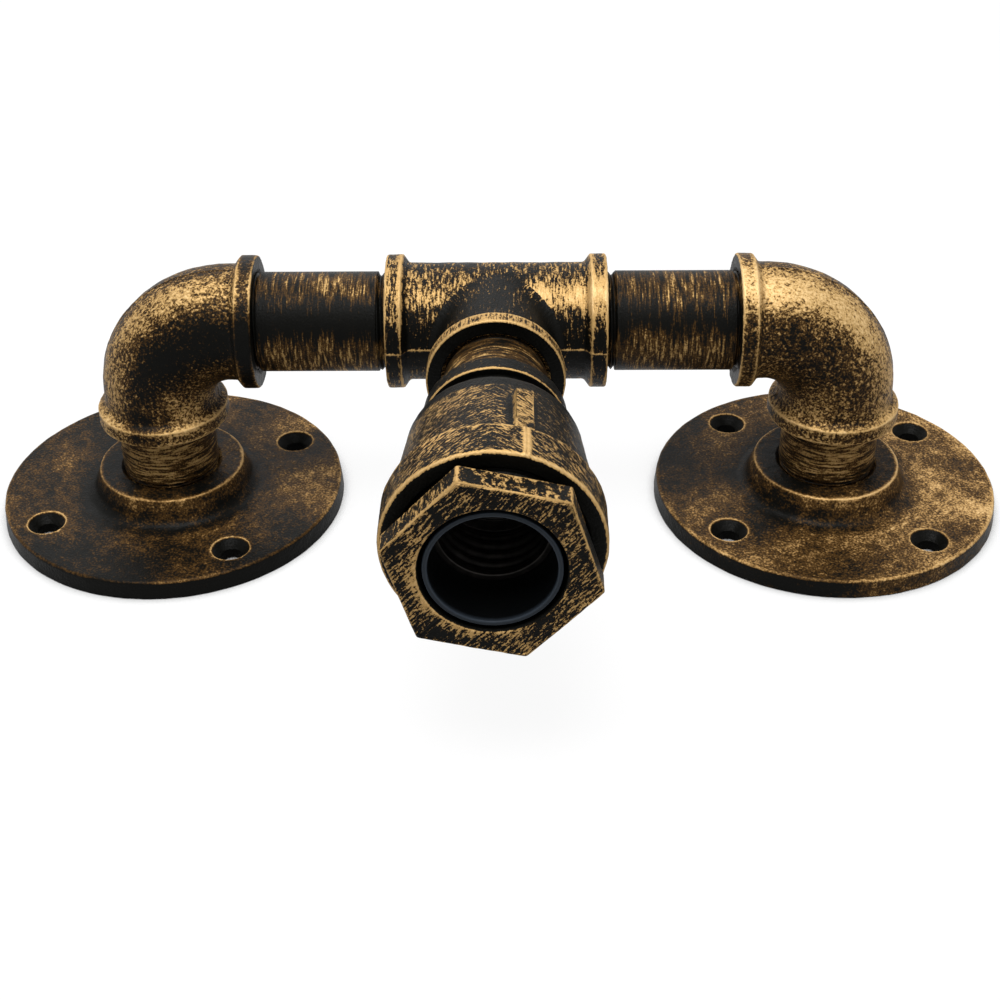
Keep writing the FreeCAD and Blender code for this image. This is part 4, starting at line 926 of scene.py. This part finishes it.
# The lip is a painted highlight: a lighter blue grey where the edge attribute marks the mouth, over the near
# black moulding.
holder_paint = moulding.finish(
    base_color=moulding.mix(moulding.attribute("edge"), colour(6, 7, 8), colour(50, 57, 65)),
    roughness=mottle * 0.12 + 0.32, normal=moulding.bump(mottle, distance=0.00004),
    specular_ior_level=0.1)

rolled = new_paint("rolled_shell")
cloud = rolled.noise(rolled.place(), 260, detail=4.0, roughness=0.6)
shell_paint = rolled.finish(
    base_color=rolled.mix(cloud.step(0.3, 0.75), colour(26, 24, 22), colour(48, 45, 42)),
    metallic=0.8, roughness=cloud * 0.2 + 0.34, normal=rolled.bump(cloud, distance=0.00003))

LAP_R, LAP_FRONT = 14.95, 84.1
skirt_shape = profile([
    (SKIRT_REAR, LAP_R, 0, 0, 1), (SKIRT_REAR, HOLDER_R, 0.1, 0, 2),
    (HOLDER_FRONT, HOLDER_R, 0.35, 1, 0.5), (HOLDER_FRONT, HOLDER_BORE_R, 0.35, 1, 1),
    (LAP_FRONT, HOLDER_BORE_R, 0, 0, 1), (LAP_FRONT, LAP_R, 0, 0, 1)])
piece("holder_skirt", [carried(skirt_shape, straight(CORNER, -Y, Z), angles(192))], "holder_skirt",
      holder_paint)

SHELL_PITCH, SHELL_MEAN, SHELL_AMP, SHEET = 3.63, 12.725, 0.5, 0.5
SHELL_REAR, SHELL_FRONT, SHELL_FOOT_R, SHELL_LIP_R = 78.5, 95.8, 9.5, 14.3
WAVE_START, WAVE_END, WAVE_FADE = 80.2, 94.2, 1.5


def screw_shell():
    """Rolled sheet: radius = mean + amplitude times sin(2 pi (s / pitch - turn)), faded out at both
    ends of the wave. A foot turns in behind it and a lip turns out in front."""
    outer, fine = SHELL_MEAN + SHEET, SHELL_PITCH / 16
    s, r, _ = shape = profile([
        (SHELL_REAR, SHELL_FOOT_R, 0, 0, 1), (SHELL_REAR + SHEET, SHELL_FOOT_R, 0.1, 0, 0.6),
        (SHELL_REAR + SHEET, SHELL_MEAN, 0.15, 0, fine), (SHELL_FRONT, SHELL_MEAN, 0.4, 0, 0.5),
        (SHELL_FRONT, SHELL_LIP_R, 0.1, 1, 0.4), (SHELL_FRONT - SHEET, SHELL_LIP_R, 0.1, 0, 0.5),
        (SHELL_FRONT - SHEET, outer, 0.1, 0, fine), (SHELL_REAR, outer, 0.2, 0, 1)])
    theta = angles(160)
    fade = ramp(s, WAVE_START, WAVE_START + WAVE_FADE) * ramp(s, WAVE_END, WAVE_END - WAVE_FADE)
    wall = (r > SHELL_MEAN - 0.3) & (r < outer + 0.3)
    wave = np.sin(2 * np.pi * (s[:, None] / SHELL_PITCH - theta[None, :] / (2 * np.pi)))
    radius = r[:, None] + SHELL_AMP * wave * (fade * wall)[:, None]
    return carried(shape, straight(CORNER, -Y, Z), theta, radius)


piece("screw_shell", [screw_shell()], "screw_shell", shell_paint)

# %% [markdown]
# ## The pieces inside
# What hardly shows keeps its solid and gets an honest finish: plated steel for the fixings, brass for the
# contacts, dark moulding for the base and plain coloured sheaths for the wires.

# %% Finishes for the inner pieces
def plain(name, dark, light, scale, metallic=0.0, rough=0.4, spread=0.15):
    """A finish with a slow change of shade and a fine grain."""
    p = new_paint(name)
    field = p.noise(p.place(), scale, detail=4.0, roughness=0.6)
    return p.finish(base_color=p.mix(field.step(0.3, 0.7), dark, light), metallic=metallic,
                    roughness=field * spread + (rough - spread / 2),
                    normal=p.bump(field, distance=0.00003))


finishes = {
    "holder_black": holder_paint,
    "holder_insert": plain("dark_insert", colour(46, 45, 44), colour(62, 60, 58), 700, rough=0.6),
    "contact_metal": plain("contact_brass", colour(150, 120, 66), colour(196, 164, 96), 420,
                           metallic=0.9, rough=0.32),
    "plated_steel": plain("zinc_plate", colour(140, 141, 142), colour(186, 187, 186), 500,
                          metallic=0.9, rough=0.36),
    "cable_sheath": plain("cable_sheath", colour(28, 28, 29), colour(40, 40, 42), 800, rough=0.55),
    "core_brown": plain("brown_core", colour(92, 56, 32), colour(110, 70, 42), 900, rough=0.45),
    "core_blue": plain("blue_core", colour(40, 84, 150), colour(56, 104, 172), 900, rough=0.45),
}
slots = {row["node"]: row["material_slot"] for row in frame["record"]["subparts"]}
for node, thing in frame["nodes"].items():
    if thing.hide_render or slots[node] not in finishes:
        continue
    print("finish:", node, "in", slots[node])
    for slot in thing.material_slots:
        slot.link = "OBJECT"
        slot.material = finishes[slots[node]]

# %% [markdown]
# ## Floor, light and camera
# The photograph was taken on white paper, so the floor is white and only a soft shadow shows. A broad
# lamp above and two weaker ones at the sides light the paint evenly.

# %% Floor
FLOOR_HALF, FLOOR_DROP = 3.0, 0.0002
PAPER_GLOW, PAPER_SHARE, SHADOW_REACH = 1.14, 0.82, 0.03
WHITE = (1, 1, 1, 1)


def shown_rays(paint):
    """1 for rays that show a surface (camera, glossy, transmission) and 0 for rays that only light it."""
    seen, glossy, through = (paint.node("ShaderNodeLightPath", {}, {}, kind) for kind in (
        "Is Camera Ray", "Is Glossy Ray", "Is Transmission Ray"))
    return (seen + glossy + through).at_most(1)


floor_mesh = bpy.data.meshes.new("floor")
floor_mesh.from_pydata([(-FLOOR_HALF, -FLOOR_HALF, 0), (FLOOR_HALF, -FLOOR_HALF, 0),
                        (FLOOR_HALF, FLOOR_HALF, 0), (-FLOOR_HALF, FLOOR_HALF, 0)], [], [(0, 1, 2, 3)])
floor = bpy.data.objects.new("floor", floor_mesh)
bpy.context.scene.collection.objects.link(floor)
floor.location.z = -FLOOR_DROP
paper = new_paint("white_paper")
# Painted shadow: where the ambient occlusion finds the object near, under the flanges and in their holes,
# the paper's colour turns near black and its glow fades.
open_sky = paper.node("ShaderNodeAmbientOcclusion", {"samples": 4}, {"Distance": SHADOW_REACH}, "AO")
paper.finish(base_color=paper.mix(open_sky.step(0.35, 0.7), colour(8, 8, 8), colour(176, 176, 176)),
             roughness=0.9)
glow = paper.node("ShaderNodeEmission", {}, {"Color": WHITE, "Strength": PAPER_GLOW})
both = paper.node("ShaderNodeMixShader", {}, {
    0: shown_rays(paper) * open_sky.step(0.25, 0.8) * PAPER_SHARE,
    1: Value(paper, paper.shader.outputs[0]), 2: glow})
paper.feed(paper.tree.nodes["Material Output"].inputs["Surface"], both)
floor_mesh.materials.append(paper.owner)
print("floor:", 2 * FLOOR_HALF, "m square,", FLOOR_DROP / MM, "mm under the flanges")

# %% Light
WORLD_LIGHT = 0.07
LAMPS_AIM = Vector((0, -0.02, 0.03))
world = bpy.data.worlds.new("studio")
bpy.context.scene.world = world
sky = Paint(world)
background = sky.tree.nodes["Background"]
background.inputs["Color"].default_value = WHITE
sky.feed(background.inputs["Strength"], shown_rays(sky) * (1 - WORLD_LIGHT) + WORLD_LIGHT)


def lamp(name, place, size, power):
    """A soft square lamp that faces the object, its size in metres and its power in watts."""
    data = bpy.data.lights.new(name, "AREA")
    data.size, data.energy = size, power
    made = bpy.data.objects.new(name, data)
    made.location = place
    made.rotation_euler = (LAMPS_AIM - Vector(place)).to_track_quat("-Z", "Y").to_euler()
    bpy.context.scene.collection.objects.link(made)
    print(f"lamp {name}: {size} m, {power} W")


lamp("key", (-0.06, -0.2, 0.95), 0.55, 11.6)
lamp("fill", (0.6, -0.9, 0.5), 0.7, 0.8)
lamp("back", (-0.2, 0.8, 0.8), 0.8, 4.0)

# %% Camera
CAMERA_PLACE = np.array([5.369, -402.126, 283.335])
YAW, PITCH, ROLL = -0.01239, 0.61733, -0.00976
FOCAL_PIXELS, PICTURE, SENSOR = 1690.107, 1000, 36.0
forward = np.array([math.sin(YAW) * math.cos(PITCH), math.cos(YAW) * math.cos(PITCH), -math.sin(PITCH)])
level = np.array([math.cos(YAW), -math.sin(YAW), 0])
above = np.cross(level, forward)
right = math.cos(ROLL) * level + math.sin(ROLL) * above
upward = -math.sin(ROLL) * level + math.cos(ROLL) * above
eye = bpy.data.cameras.new("camera")
eye.lens = FOCAL_PIXELS * SENSOR / PICTURE
eye.sensor_width = SENSOR
eye.clip_start, eye.clip_end = 0.01, 20
camera = bpy.data.objects.new("camera", eye)
bpy.context.scene.collection.objects.link(camera)
columns = np.stack([right, upward, -forward, CAMERA_PLACE * MM], 1)
camera.matrix_world = Matrix([*columns.tolist(), [0, 0, 0, 1]])
bpy.context.scene.camera = camera
bpy.context.scene.view_settings.view_transform = "Standard"
print("camera:", round(eye.lens, 1), "mm lens,", round(math.degrees(PITCH), 1), "degrees down")
